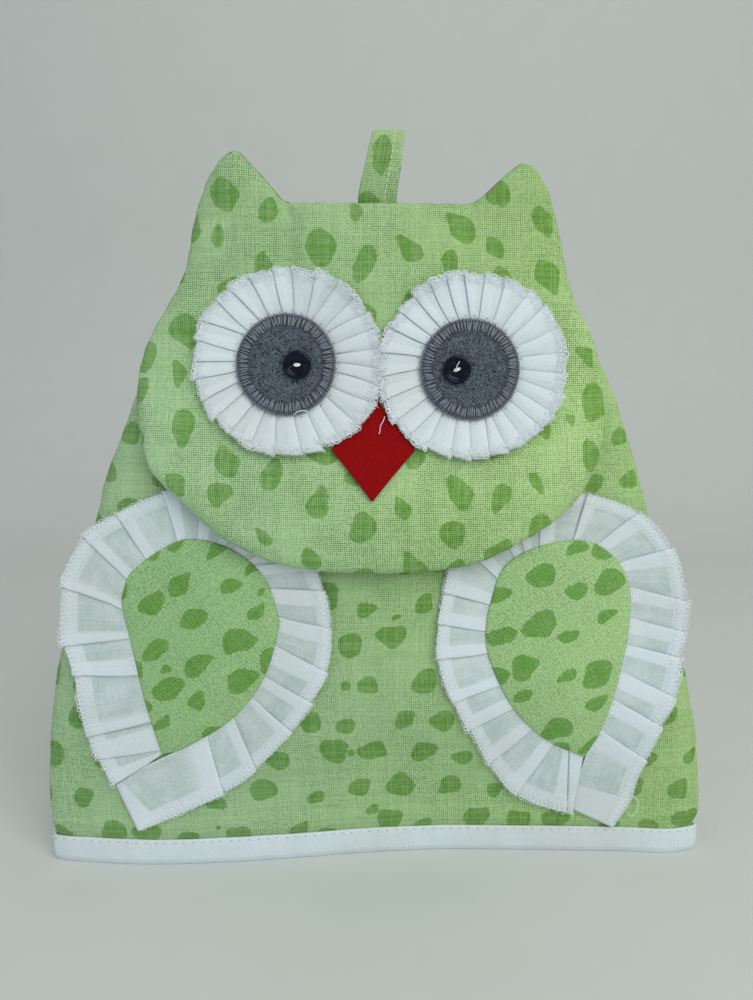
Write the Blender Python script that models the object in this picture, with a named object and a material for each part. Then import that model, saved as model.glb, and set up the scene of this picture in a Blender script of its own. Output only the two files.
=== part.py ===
"""Owl tea cosy: two padded cloth panels with a bound hem, a padded head with
two ears, pleated ruffles round the eyes and the wings, felt eyes with
buttons, a felt beak and a hanging loop.

Lengths are in millimetres until a solid is made. X runs to the viewer's
right, Y away from the viewer and Z up. The owl looks to -Y, and the hem
stands on Z = 0.
"""

import math

import bpy
import numpy as np

# Named sizes ---------------------------------------------------------------
GAP = 0.35              # clearance between pieces that are sewn together
SEAM = 0.17             # half of the gap between the two panels at a seam
SQUARE = 4.0            # power of the body's oval: 2 is an ellipse
HEM_Z = 1.6             # lower edge of the panels, inside the binding

BINDING_HIGH = 12.5     # finished width of the bias strip
BINDING_THICK = 1.2
BINDING_GAP = 0.6       # between the strip and the hem inside it
BINDING_ROUND = 0.45    # small round at the fold

HEAD_EDGE = 2.6         # thickness of the head at its sewn edge
HEAD_LOFT = 6.4         # padding added in the middle
HEAD_LIFT = 5.5         # how far the free lower edge stands off the body

RUFFLE_SHEET = 1.1      # one layer of the pleated strip, slightly puffed
PLEAT_HIGH = 1.9        # height of a knife pleat on top of it
EYE_PLEATS = 27
WING_PLEATS = 22
EYE_INNER = 15.5        # inner edge of the eye ruffle, under the felt
EYE_OUTER = 39.0

FELT_THICK = 1.5
BEAK_THICK = 1.4

BUTTON_RADIUS = 5.7     # an 18 line button
BUTTON_THICK = 2.6
BUTTON_HOLE = 0.85
BUTTON_PITCH = 2.9      # between the centres of the two holes

LOOP_THICK = 1.6
LOOP_LOW = 281.5        # cut ends, caught in the top seam
LOOP_X = 0.4            # middle of the loop at the seam

# Body panels: a row for each height. left and right are the side seams,
# deep is from the seam plane to the outer face, pad is the thickness.
BODY = {
    "z":     (HEM_Z, 12.6, 19.0, 32.0, 55.0, 80.0, 105., 130., 155., 180., 200., 220., 240., 258., 272., 283., 289.),
    "left":  (-149.2, -149.2, -150.6, -152.0, -152.1, -150.4, -144.6, -136.4, -127.6, -120.2, -111.8, -103.4, -90.5, -74., -57., -38., -22.),
    "right": (150.6, 150.6, 152.2, 152.4, 150.4, 145.1, 138.4, 131.6, 124.4, 116.8, 109.8, 102.4, 91.0, 75.0, 58.0, 40.0, 24.0),
    "deep":  (20.6, 20.6, 22.6, 24.2, 24.4, 23.6, 22.4, 20.9, 19.2, 17.2, 15.1, 12.9, 10.5, 8.1, 6.0, 4.1, 2.6),
    "pad":   (3.6, 3.6, 5.2, 6.6, 7.0, 7.0, 7.0, 7.0, 7.0, 6.8, 6.5, 6.2, 5.6, 4.8, 4.0, 3.4, 2.45),
}

# Columns of a panel as shares of its half width, closer at the side seams, and
# how deep the front panel is from the seams at each of them near the hem,
# where the cosy leans forward at its two sides and the front falls back on the
# right.
HALF_COLUMNS = (0.2, 0.4, 0.56, 0.7, 0.8, 0.88, 0.94, 0.975, 0.993, 1.0)
COLUMNS = tuple(-u for u in reversed(HALF_COLUMNS)) + (0.0,) + HALF_COLUMNS
HEM = {
    "u":    (-1.0, -0.975, -0.94, -0.88, -0.8, -0.7, -0.56, -0.4, -0.2, 0.0, 0.2, 0.4, 0.56, 0.7, 0.8, 0.88, 0.94,
             0.975, 1.0),
    "deep": (6.0, 7.7, 8.5, 10.8, 13.7, 16.2, 18.1, 18.7, 17.2, 14.2, 11.8, 11.0, 10.2, 9.4, 8.8, 9.5, 9.3, 7.2, 6.0),
    "forward": (17.5, 10.0),   # of the left and the right side seam
    "fade": (95.0, 14.0),      # heights between which this wears off
}

# Head outline, clockwise as seen from the front, from the left ear's foot.
HEAD = {
    "x": (-37.5, -44.2, -52.8, -58.9, -65.3, -71.0, -76.6, -80.6, -86.9, -95.5, -100.5, -102.2, -100.3, -96.0,
          -81.2, -68.9, -56.8, -43.3, -27.3, -3.0, 26.1, 46.1, 66.3, 77.2, 87.0, 94.1, 97.2, 95.5,
          91.7, 85.0, 80.0, 77.5, 74.5, 70.6, 62.8, 55.6, 47.2, 41.0, 30.0, -20.0),
    "z": (295.5, 301.6, 310.8, 315.6, 311.8, 303.5, 288.7, 268.0, 255.2, 240.8, 227.7, 214.4, 199.0, 184.0,
          169.4, 157.8, 150.7, 144.8, 141.6, 140.2, 141.6, 146.1, 156.5, 164.2, 174.6, 189.0, 205.0, 225.0,
          239.5, 252.0, 268.0, 281.0, 292.6, 302.6, 310.6, 307.2, 299.9, 295.4, 294.3, 294.5),
}
HEAD_CENTRE = (-2.0, 222.0)
HEAD_COLUMNS = 44

# Wings: the green teardrop from its lower tip, and the pleated strip's outer
# edge from the corner of its cut end. Both run clockwise.
WING_LEFT = {
    "panel_x": (-96.5, -103.1, -108.2, -112.0, -110.7, -106.6, -91.2, -78.4, -61.6, -49.2, -43.7, -43.8, -50.5, -64.3,
                -85.4),
    "panel_z": (55.1, 80.0, 105.3, 123.6, 131.2, 138.8, 149.7, 153.0, 147.9, 136.2, 120.1, 111.5, 90.7, 72.6, 58.8),
    "edge_x": (-108.6, -118.6, -127.4, -133.3, -135.9, -139.5, -138.5, -135.9, -126.8, -111.6, -90.8, -69.4, -49.2,
               -33.0, -23.0, -19.9, -21.8, -34.5, -54.8, -69.4),
    "edge_z": (18.0, 40.0, 55.8, 75.1, 94.5, 107.5, 131.7, 140.3, 155.4, 165.0, 174.2, 176.1, 170.5, 157.6,
               131.7, 113.4, 93.5, 70.4, 46.6, 36.0),
    "centre": (-80.0, 110.0),
}
WING_RIGHT = {
    "panel_x": (95.1, 76.6, 61.4, 51.1, 48.2, 50.5, 56.6, 71.2, 90.2, 104.5, 111.4, 111.6, 107.5, 101.5),
    "panel_z": (50.7, 60.6, 76.6, 97.2, 111.5, 126.7, 142.1, 149.9, 152.2, 144.0, 131.0, 112.5, 88.5, 64.9),
    "edge_x": (111.4, 90.6, 74.4, 58.6, 41.5, 29.4, 26.5, 30.5, 36.9, 53.1, 72.5, 92.3, 113.7, 129.3, 135.3, 137.2,
               135.6, 134.2, 129.4, 124.5, 120.9, 118.0),
    "edge_z": (14.0, 21.2, 25.2, 36.2, 65.9, 90.2, 108.9, 138.1, 155.4, 169.7, 174.7, 172.8, 165.2, 148.9, 132.4,
               118.5, 100.6, 80.3, 67.1, 50.8, 41.1, 26.0),
    "centre": (80.0, 108.0),
}

# Eyes: middles of the ruffle, the felt and the button, as x, z.
EYE_LEFT = {"ruffle": (-38.4, 228.7), "felt": (-37.6, 228.0), "felt_r": 20.7, "button": (-32.4, 227.7), "turn": 2.0}
EYE_RIGHT = {"ruffle": (40.0, 227.0), "felt": (38.5, 226.0), "felt_r": 20.5, "button": (32.8, 225.8), "turn": 38.0}

# Beak corners, from the top one clockwise, and the round of each.
BEAK = {
    "x":     (-0.6, 16.1, -1.8, -18.7),
    "z":     (214.5, 193.2, 171.9, 193.2),
    "round": (1.2, 2.0, 1.6, 2.0),
}

# Hanging loop: the strip's middle line, from the seam up to the fold.
LOOP = {
    "z":    (LOOP_LOW, 290.0, 297.0, 307.0, 316.0, 321.6, 324.3),
    "half": (1.15, 1.15, 2.3, 4.0, 4.0, 2.6, 0.0),
    "lean": (0.0, 0.0, 0.0, 1.6, 3.4, 4.4, 4.8),
    "wide": (16.6, 16.6, 16.4, 15.6, 14.6, 13.9, 13.6),
}

COLOURS = {
    "green_cotton": (0.36, 0.60, 0.23),
    "white_cotton": (0.72, 0.75, 0.73),
    "grey_felt": (0.09, 0.09, 0.10),
    "red_felt": (0.40, 0.01, 0.02),
    "black_button": (0.01, 0.01, 0.012),
}


# Small maths ---------------------------------------------------------------
def track(keys, values, at):
    """A smooth value through the rows of a table (cubic, no overshoot at ends)."""
    keys, values = np.asarray(keys, float), np.asarray(values, float)
    at = float(min(max(at, keys[0]), keys[-1]))
    i = int(min(max(np.searchsorted(keys, at) - 1, 0), len(keys) - 2))
    slope = np.gradient(values, keys)
    step = keys[i + 1] - keys[i]
    t = (at - keys[i]) / step
    a, b = (1 + 2 * t) * (1 - t) ** 2, t * t * (3 - 2 * t)
    c, d = t * (1 - t) ** 2, t * t * (t - 1)
    return a * values[i] + b * values[i + 1] + step * (c * slope[i] + d * slope[i + 1])


def ease(low, high, value):
    """0 below low, 1 above high, smooth between; also with low above high."""
    t = min(max((value - low) / (high - low), 0.0), 1.0)
    return t * t * (3 - 2 * t)


def closed_curve(xs, zs, count, sharp_first=False):
    """Points at even steps round a smooth closed curve through the rows."""
    p = np.column_stack([xs, zs]).astype(float)
    n = len(p)
    dense = []
    for i in range(n):
        a, b, c, d = p[(i - 1) % n], p[i], p[(i + 1) % n], p[(i + 2) % n]
        m0, m1 = (c - a) / 2, (d - b) / 2
        if sharp_first and i == 0:
            m0 = c - b
        if sharp_first and i == n - 1:
            m1 = c - b
        for t in np.linspace(0, 1, 12, endpoint=False):
            dense.append((2 * t**3 - 3 * t**2 + 1) * b + (t**3 - 2 * t**2 + t) * m0
                         + (3 * t**2 - 2 * t**3) * c + (t**3 - t**2) * m1)
    dense.append(dense[0])
    dense = np.array(dense)
    run = np.concatenate([[0], np.cumsum(np.linalg.norm(np.diff(dense, axis=0), axis=1))])
    want = run[-1] * (np.asarray(count) if np.ndim(count) else np.arange(count) / count)
    return np.column_stack([np.interp(want, run, dense[:, 0]), np.interp(want, run, dense[:, 1])])


# Surfaces that the layers lie on --------------------------------------------
def loop_room(x, z, wide=0.0):
    """How far the top seam opens for the two ends of the hanging loop."""
    return 2.15 * ease(21.0 + wide, 14.5 + wide, abs(x - LOOP_X)) * ease(257.0 - wide / 2, 271.0 - wide / 2, z)


def body_size(z):
    """Middle, half width, depth and padding of the body at one height."""
    left, right = track(BODY["z"], BODY["left"], z), track(BODY["z"], BODY["right"], z)
    return ((left + right) / 2, (right - left) / 2, track(BODY["z"], BODY["deep"], z),
            track(BODY["z"], BODY["pad"], z))


def near_hem(z):
    """1 at the hem and 0 above the part that leans."""
    return ease(*HEM["fade"], z)


def seam_y(u, z):
    """Where the plane between the two panels is, forward at the hem's sides."""
    return -HEM["forward"][0 if u < 0 else 1] * u * u * near_hem(z)


def front_deep(u, z):
    """Depth of the front panel from that plane."""
    share = near_hem(z)
    return float(np.interp(u, HEM["u"], HEM["deep"])) * share + body_size(z)[2] * (1 - share)


def squared(u):
    """The body's oval: its depth at a share of the half width."""
    return max(1 - abs(u) ** SQUARE, 0.0) ** (1 / SQUARE)


def body_front(x, z, wide=0.0):
    """The front panel's outer face, eased near the side seams, where what is
    sewn on stands clear instead of turning round the edge."""
    middle, half, _, _ = body_size(z)
    u = min(max((x - middle) / half, -0.86), 0.86)
    return seam_y(u, z) - front_deep(u, z) * squared(u) - 0.2 * near_hem(z) - loop_room(x, z, wide)


HEAD_LINE = closed_curve(HEAD["x"], HEAD["z"], 720)
HEAD_ANGLE = np.unwrap(np.arctan2(HEAD_LINE[:, 1] - HEAD_CENTRE[1], HEAD_LINE[:, 0] - HEAD_CENTRE[0]))
HEAD_REACH = np.hypot(HEAD_LINE[:, 0] - HEAD_CENTRE[0], HEAD_LINE[:, 1] - HEAD_CENTRE[1])


def head_share(x, z):
    """0 in the middle of the head, 1 on its outline."""
    angle = math.atan2(z - HEAD_CENTRE[1], x - HEAD_CENTRE[0])
    low = min(HEAD_ANGLE[0], HEAD_ANGLE[-1])
    angle = (angle - low) % (2 * math.pi) + low
    order = np.argsort(HEAD_ANGLE)
    reach = np.interp(angle, HEAD_ANGLE[order], HEAD_REACH[order])
    return min(math.hypot(x - HEAD_CENTRE[0], z - HEAD_CENTRE[1]) / reach, 1.0)


def head_back(x, z):
    """The head's back face: on the body above, lifted over the wings below."""
    return body_front(x, min(z, 289.0), 15.0) - GAP - 0.25 - HEAD_LIFT * ease(224.0, 174.0, z)


def head_front(x, z):
    """The head's padded face."""
    return head_back(x, z) - HEAD_EDGE - HEAD_LOFT * (1 - head_share(x, z) ** 5)


# Solids ----------------------------------------------------------------------
SOLIDS = {}


def grid_solid(name, outer, inner, colour, ring=False):
    """Close two matching grids of points, rows by columns, into one solid."""
    outer, inner = np.asarray(outer, float), np.asarray(inner, float)
    rows, cols = outer.shape[:2]
    verts = np.concatenate([outer.reshape(-1, 3), inner.reshape(-1, 3)])
    off = rows * cols
    faces = []
    last = cols if ring else cols - 1
    for r in range(rows - 1):
        for c in range(last):
            d = (c + 1) % cols
            a = (r * cols + c, r * cols + d, (r + 1) * cols + d, (r + 1) * cols + c)
            faces.append(a)
            faces.append(tuple(off + i for i in reversed(a)))
    for c in range(last):
        d = (c + 1) % cols
        faces.append((c, off + c, off + d, d))
        top = (rows - 1) * cols
        faces.append((top + c, top + d, off + top + d, off + top + c))
    if not ring:
        for r in range(rows - 1):
            a, b = r * cols, (r + 1) * cols
            faces.append((a, b, off + b, off + a))
            a, b = a + cols - 1, b + cols - 1
            faces.append((a, off + a, off + b, b))
    SOLIDS[name] = (verts, faces, colour)


def disc_solid(name, rings, front, back, colour):
    """A flat piece from rings of x, z points, the first being its middle."""
    middle, loops = rings[0], rings[1:]
    count = len(loops[0])
    verts, faces = [], []
    for face in (front, back):
        verts.append((middle[0], face(middle[0], middle[1], 0), middle[1]))
        for k, ring in enumerate(loops):
            verts += [(x, face(x, z, k + 1), z) for x, z in ring]
    side = 1 + len(loops) * count
    for base, turn in ((0, False), (side, True)):
        for c in range(count):
            d = (c + 1) % count
            quads = [(base, base + 1 + c, base + 1 + d)]
            for k in range(len(loops) - 1):
                a, b = base + 1 + k * count, base + 1 + (k + 1) * count
                quads.append((a + c, b + c, b + d, a + d))
            faces += [tuple(reversed(q)) if turn else q for q in quads]
    edge = 1 + (len(loops) - 1) * count
    for c in range(count):
        d = (c + 1) % count
        faces.append((edge + c, side + edge + c, side + edge + d, edge + d))
    SOLIDS[name] = (np.array(verts, float), faces, colour)


def shrink(line, centre, shares):
    """Rings of a star-shaped outline, from its middle out to itself."""
    centre = np.array(centre)
    return [tuple(centre)] + [[tuple(centre + (p - centre) * s) for p in line] for s in shares]


def make_body(name, side):
    """One padded panel; side is -1 for the front and 1 for the back."""
    heights = [HEM_Z, 12.6, 19.0, 32.0, 60.0, 92.0, 124.0, 155.0, 184.0,
               212.0, 237.0, 258.0, 272.0, 283.0, 289.0]
    outer, inner = [], []
    for z in heights:
        middle, half, deep, pad = body_size(z)
        rows = ([], [])
        for u in COLUMNS:
            here = front_deep(u, z) if side < 0 else deep
            for row, a, b in ((rows[0], half, here), (rows[1], half - pad, here - pad)):
                x = middle + a * u
                y = max(b * squared(u), SEAM) + (loop_room(x, z) if abs(u) < 1 else 0.0)
                row.append((x, seam_y(u, z) + side * y, z))
        outer.append(rows[0])
        inner.append(rows[1])
    grid_solid(name, outer, inner, "green_cotton")


def make_binding():
    """The bias strip: a U section carried round the oval of the hem."""
    middle, half, deep, pad = body_size(HEM_Z)
    near, out, deepest = BINDING_GAP, BINDING_GAP + BINDING_THICK, -pad - BINDING_GAP
    far, fold = deepest - BINDING_THICK, BINDING_ROUND
    section = ((out, fold * 2), (out, BINDING_HIGH), (near, BINDING_HIGH), (near, BINDING_THICK),
               (deepest, BINDING_THICK), (deepest, BINDING_HIGH), (far, BINDING_HIGH),
               (far, fold * 2), (far + fold, 0.0), (out - fold, 0.0))
    verts, faces = [], []
    stations = [(u, -1) for u in COLUMNS] + [(u, 1) for u in COLUMNS[-2:0:-1]]
    count = len(stations)
    for u, side in stations:
        here = front_deep(u, HEM_Z) if side < 0 else deep
        for off, z in section:
            swell = 0.4 * ease(0.0, 12.0, z) if off == out else 0.0
            verts.append((middle + (half + off) * u, seam_y(u, HEM_Z) + side * (here + off + swell) * squared(u), z))
    n = len(section)
    for i in range(count):
        j = (i + 1) % count
        for k in range(n):
            m = (k + 1) % n
            faces.append((i * n + k, j * n + k, j * n + m, i * n + m))
    SOLIDS["hem_binding"] = (np.array(verts), faces, "white_cotton")


def make_head():
    """The padded head, thick in the middle and thin at its sewn edge."""
    line = closed_curve(HEAD["x"], HEAD["z"], HEAD_COLUMNS)
    rings = shrink(line, HEAD_CENTRE, (0.18, 0.36, 0.53, 0.69, 0.83, 0.94, 1.0))
    disc_solid("head", rings, lambda x, z, k: head_front(x, z), lambda x, z, k: head_back(x, z), "green_cotton")


def make_pleated(name, inner, outer, base, rise, pleats, colour, first=0.0, bent=False):
    """A strip laid in knife pleats between two matching edges.

    inner and outer give the x, z point for a share of the way round, base is
    the surface below, and rise is how far the outer edge stands off it. A
    bent strip has one more row across, to follow a rounded surface.
    """
    shape = ((0.0, 0.0), (0.13, 1.0), (0.62, 0.82))
    across = ((0.0, 0.3), (0.26, 0.42), (0.62, 0.9), (1.0, 1.0)) if bent else ((0.0, 0.3), (0.26, 0.42), (1.0, 1.0))
    below = (1.0, 0.5, 0.0) if bent else (1.0, 0.0)
    rows = [[] for _ in range(len(across) + len(below))]
    for p in range(pleats):
        for step, high in shape:
            share = ((p + step) / pleats + first) % 1.0
            a, b = np.array(inner(share)), np.array(outer(share))
            even = 0.85 + 0.15 * math.sin(2.4 * p + 0.7)
            for row, (s, lift) in zip(rows, across):
                q = a + (b - a) * s * (1 - 0.02 * (1 - high))
                row.append((q[0], base(q[0], q[1]) - GAP - rise * s - RUFFLE_SHEET - PLEAT_HIGH * high * lift * even, q[1]))
            for row, s in zip(rows[len(across):], below):
                q = a + (b - a) * s * (1 - 0.02 * (1 - high))
                row.append((q[0], base(q[0], q[1]) - GAP - rise * s, q[1]))
    count = len(rows[0])
    faces = []
    for k in range(len(rows)):
        a, b = k * count, (k + 1) % len(rows) * count
        for c in range(count):
            d = (c + 1) % count
            faces.append((a + c, b + c, b + d, a + d))
    SOLIDS[name] = (np.array([v for row in rows for v in row]), faces, colour)


def make_eye(side, spec):
    """Ruffle, felt and button of one eye."""
    rx, rz = spec["ruffle"]

    def at(radius):
        return lambda s: (rx + radius * math.cos(2 * math.pi * s), rz + radius * math.sin(2 * math.pi * s))

    make_pleated("eye_ruffle_" + side, at(EYE_INNER), at(EYE_OUTER), head_front, 2.2, EYE_PLEATS,
                 "white_cotton", spec["turn"] / 360)

    def under_felt(x, z):
        return head_front(x, z) - 2 * GAP - 0.25 - RUFFLE_SHEET - 0.45 * PLEAT_HIGH

    fx, fz = spec["felt"]
    line = np.array([(fx + spec["felt_r"] * math.cos(t), fz + spec["felt_r"] * 1.02 * math.sin(t))
                     for t in np.linspace(0, 2 * math.pi, 32, endpoint=False)])
    rings = shrink(line, (fx, fz), (0.55, 0.93, 1.0))
    disc_solid("eye_felt_" + side, rings,
               lambda x, z, k: under_felt(x, z) - GAP - FELT_THICK + (0.35 if k == 3 else 0.0),
               lambda x, z, k: under_felt(x, z) - GAP, "grey_felt")

    bx, bz = spec["button"]
    seat = under_felt(bx, bz) - 2 * GAP - FELT_THICK - 0.62
    make_button("button_" + side, bx, seat, bz)


def make_button(name, x, y, z):
    """A turned button: flat back, raised rim, recessed middle, two holes."""
    r, t = BUTTON_RADIUS, BUTTON_THICK
    hub = BUTTON_PITCH / 2 + BUTTON_HOLE + 0.45
    profile = ((hub, 0.2), (r - 1.2, 0.0), (r, 0.9), (r - 0.1, t - 0.35), (r - 0.65, t), (r - 1.35, t - 0.2),
               (r - 2.2, t - 0.95), (hub, t - 1.05))
    count, hole = 24, 8
    verts, faces = [], []
    for ring_r, depth in profile:
        verts += [(x + ring_r * math.cos(2 * math.pi * c / count), y - depth, z + ring_r * math.sin(2 * math.pi * c / count))
                  for c in range(count)]
    for k in range(len(profile) - 1):
        for c in range(count):
            d = (c + 1) % count
            faces.append((k * count + c, (k + 1) * count + c, (k + 1) * count + d, k * count + d))
    starts = []
    for depth in (0.2, t - 1.05):
        for side in (-1, 1):
            starts.append(len(verts))
            verts += [(x + side * BUTTON_PITCH / 2 + BUTTON_HOLE * math.cos(2 * math.pi * (c + 0.5) / hole), y - depth,
                       z + BUTTON_HOLE * math.sin(2 * math.pi * (c + 0.5) / hole)) for c in range(hole)]
    left, right, left_top, right_top = starts
    for low, top in ((left, left_top), (right, right_top)):
        for c in range(hole):
            d = (c + 1) % hole
            faces.append((low + c, low + d, top + d, top + c))
    # The face round the two holes: one half for each hole, split on the middle line.
    for base, one, two, turn in ((0, left, right, True), ((len(profile) - 1) * count, left_top, right_top, False)):
        q = count // 4
        rim_right = [base + (c % count) for c in range(-q, q + 1)]
        rim_left = [base + (c % count) for c in range(q, 3 * q + 1)]
        # Hole vertices turned so that each list starts nearest the middle line.
        ring_right = [two + (c % hole) for c in range(hole // 2, hole // 2 + hole)]
        ring_left = [one + (c % hole) for c in range(0, hole)]
        # The middle line runs between the holes: the last hole vertex to the first.
        for rim, ring in ((rim_right, ring_right), (rim_left, ring_left)):
            i = j = 0
            while i < len(rim) - 1 or j < len(ring) - 1:
                if j == len(ring) - 1 or (i < len(rim) - 1 and i / (len(rim) - 1) <= j / (len(ring) - 1)):
                    face = (rim[i], rim[i + 1], ring[j])
                    i += 1
                else:
                    face = (rim[i], ring[j + 1], ring[j])
                    j += 1
                faces.append(tuple(reversed(face)) if turn else face)
        # Strip between the two rings of the holes, top and bottom of the middle.
        top_face = (rim_right[-1], ring_left[0], ring_left[-1], rim_right[0], ring_right[0], ring_right[-1])
        faces.append(tuple(reversed(top_face)) if turn else top_face)
    SOLIDS[name] = (np.array(verts), faces, "black_button")


def make_beak():
    """The felt diamond, laid on the head below the eyes."""
    corners = np.column_stack([BEAK["x"], BEAK["z"]])
    line = []
    for i in range(4):
        p, before, after = corners[i], corners[i - 1], corners[(i + 1) % 4]
        a = (before - p) / np.linalg.norm(before - p)
        b = (after - p) / np.linalg.norm(after - p)
        r = BEAK["round"][i]
        line += [p + a * r, p + (a + b) * r * 0.28, p + b * r]
        line += [p + (after - p) * s for s in (0.35, 0.65)]
    line = np.array(line)[::-1]
    rings = shrink(line, line.mean(axis=0), (0.5, 1.0))
    disc_solid("beak", rings, lambda x, z, k: head_front(x, z) - GAP - 0.3 - BEAK_THICK,
               lambda x, z, k: head_front(x, z) - GAP - 0.3, "red_felt")


def make_wing(side, spec):
    """Teardrop panel and the pleated strip round it."""
    def outline(xs, zs, shares):
        return closed_curve(xs, zs, shares, sharp_first=True)

    def edge_at(xs, zs):
        dense = outline(xs, zs, np.linspace(0, 1, 481)[:-1])
        closed = np.vstack([dense, dense[:1]])
        keys = np.linspace(0, 1, 481)
        return lambda s: (float(np.interp(s, keys, closed[:, 0])), float(np.interp(s, keys, closed[:, 1])))

    centre = np.array(spec["centre"])
    rim = edge_at(spec["panel_x"], spec["panel_z"])
    edge = edge_at(spec["edge_x"], spec["edge_z"])

    def clear(s):
        p = np.array(rim(s))
        return p + (p - centre) / np.linalg.norm(p - centre) * 0.6

    line = np.array([rim(c / 34) for c in range(34)])[::-1]
    rings = shrink(line, centre, (0.5, 0.86, 1.0))
    loft = (1.9, 1.8, 1.1, 0.0)
    disc_solid("wing_" + side, rings, lambda x, z, k: body_front(x, z) - GAP - 1.7 - loft[k],
               lambda x, z, k: body_front(x, z) - GAP - 0.45, "green_cotton")
    make_pleated("wing_ruffle_" + side, clear, edge, body_front, 1.1, WING_PLEATS, "white_cotton", 0.0, bent=True)


def make_loop():
    """The hanging loop: a strip bent over, both ends in the top seam."""
    rows = list(zip(LOOP["z"], LOOP["half"], LOOP["lean"], LOOP["wide"]))
    path = [(-h, z, lean, wide) for z, h, lean, wide in rows]
    path += [(h, z, lean, wide) for z, h, lean, wide in reversed(rows[:-1])]
    mid = np.array([(y, z) for y, z, _, _ in path])
    tangent = np.gradient(mid, axis=0)
    tangent /= np.linalg.norm(tangent, axis=1)[:, None]
    normal = np.column_stack([-tangent[:, 1], tangent[:, 0]])
    outer, inner = [], []
    for (y, z, lean, wide), n in zip(path, normal):
        rows_out, rows_in = [], []
        for share in (-0.5, -0.46, 0.46, 0.5):
            x = LOOP_X + lean + wide * share
            half = LOOP_THICK / 2 * (1 if abs(share) < 0.5 else 0.55)
            rows_out.append((x, y + n[0] * half, z + n[1] * half))
            rows_in.append((x, y - n[0] * half, z - n[1] * half))
        outer.append(rows_out)
        inner.append(rows_in)
    grid_solid("hanging_loop", outer, inner, "green_cotton")


# Assembly --------------------------------------------------------------------
def build():
    """Make every solid and put the set's middle over the origin."""
    make_body("body_front", -1)
    make_body("body_back", 1)
    make_binding()
    make_head()
    make_eye("left", EYE_LEFT)
    make_eye("right", EYE_RIGHT)
    make_beak()
    make_wing("left", WING_LEFT)
    make_wing("right", WING_RIGHT)
    make_loop()

    start = bpy.data.objects.get("Cube")
    if start is not None:
        bpy.data.objects.remove(start)
    every = np.concatenate([verts for verts, _, _ in SOLIDS.values()])
    low, high = every.min(axis=0), every.max(axis=0)
    shift = np.array([(low[0] + high[0]) / 2, (low[1] + high[1]) / 2, low[2]])
    paints = {}
    for key, rgb in COLOURS.items():
        paint = bpy.data.materials.new(key)
        paint.use_nodes = True
        paint.diffuse_color = (*rgb, 1.0)
        paint.node_tree.nodes["Principled BSDF"].inputs["Base Color"].default_value = (*rgb, 1.0)
        paints[key] = paint
    for name, (verts, faces, colour) in SOLIDS.items():
        mesh = bpy.data.meshes.new(name)
        mesh.from_pydata([tuple((v - shift) / 1000.0) for v in verts], [], faces)
        mesh.validate()
        mesh.materials.append(paints[colour])
        thing = bpy.data.objects.new(name, mesh)
        bpy.context.scene.collection.objects.link(thing)
        orient_outwards(mesh)


def orient_outwards(mesh):
    """Turn a closed mesh's faces outwards."""
    import bmesh
    work = bmesh.new()
    work.from_mesh(mesh)
    bmesh.ops.recalc_face_normals(work, faces=work.faces[:])
    if work.calc_volume(signed=True) < 0:
        bmesh.ops.reverse_faces(work, faces=work.faces[:])
    work.to_mesh(mesh)
    work.free()
    mesh.update()


build()
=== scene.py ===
"""The finish of an owl tea cosy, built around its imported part.

Every piece is drawn in millimetres in the maker's frame: X to the viewer's
right, Y away from the owl's face and Z up from the hem. `row_frame` carries a
drawing over to the part's own frame, in metres.
"""

from __future__ import annotations

import logging
import math
from dataclasses import dataclass, field
from enum import Enum
from functools import cached_property
from typing import Callable, Sequence

import bpy
import numpy as np
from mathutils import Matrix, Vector, noise

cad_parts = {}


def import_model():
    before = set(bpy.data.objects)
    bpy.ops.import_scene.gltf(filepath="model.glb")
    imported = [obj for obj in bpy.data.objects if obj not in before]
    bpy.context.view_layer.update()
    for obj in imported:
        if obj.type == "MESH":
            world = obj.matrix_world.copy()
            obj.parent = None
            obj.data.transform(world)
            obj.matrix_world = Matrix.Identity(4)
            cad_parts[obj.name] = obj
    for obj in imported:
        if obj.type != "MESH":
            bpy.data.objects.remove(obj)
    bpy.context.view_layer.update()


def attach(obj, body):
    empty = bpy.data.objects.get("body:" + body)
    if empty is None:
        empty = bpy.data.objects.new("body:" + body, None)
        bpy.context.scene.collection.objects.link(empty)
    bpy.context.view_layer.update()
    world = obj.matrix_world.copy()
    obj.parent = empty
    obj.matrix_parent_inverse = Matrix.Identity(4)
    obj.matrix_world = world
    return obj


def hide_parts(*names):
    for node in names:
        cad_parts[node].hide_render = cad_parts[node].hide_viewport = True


LOG = logging.getLogger("tea_cosy")

Array = np.ndarray
Socket = bpy.types.NodeSocket
Material = bpy.types.Material
Thing = bpy.types.Object
Row = tuple[float, ...]
Point2 = tuple[float, float]
Surface = Callable[[Array, Array], Array]
Solid = tuple[Array, list[tuple[int, ...]]]  # points and faces

GAP = 0.35  # mm between pieces that are sewn together
SHIFT = np.array([-0.2, 5.544, 0.0])  # mm from the maker's frame to the part's
MM = 1000.0  # millimetres in a metre
MAP_MM = 100.0  # millimetres of cloth in one unit of a piece's cloth map
FACING = np.array([0.0, -1.0, 0.0])  # the way the owl faces
TURN = 2 * math.pi


# ----------------------------------------------------------------- small maths
def track(keys: Sequence[float], values: Sequence[float], at: Array) -> Array:
    """Read a table smoothly.

    Args:
        keys: rising heights of the table's rows.
        values: the table's values at those heights.
        at: heights to read.

    Returns:
        The cubic through the rows at each height, held level past the ends.
    """
    k, v = np.asarray(keys, float), np.asarray(values, float)
    a = np.clip(np.asarray(at, float), k[0], k[-1])
    i = np.clip(np.searchsorted(k, a) - 1, 0, len(k) - 2)
    slope = np.gradient(v, k)
    step = k[i + 1] - k[i]
    t = (a - k[i]) / step
    return ((1 + 2 * t) * (1 - t) ** 2 * v[i] + t * t * (3 - 2 * t) * v[i + 1]
            + step * (t * (1 - t) ** 2 * slope[i] + t * t * (t - 1) * slope[i + 1]))


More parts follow.
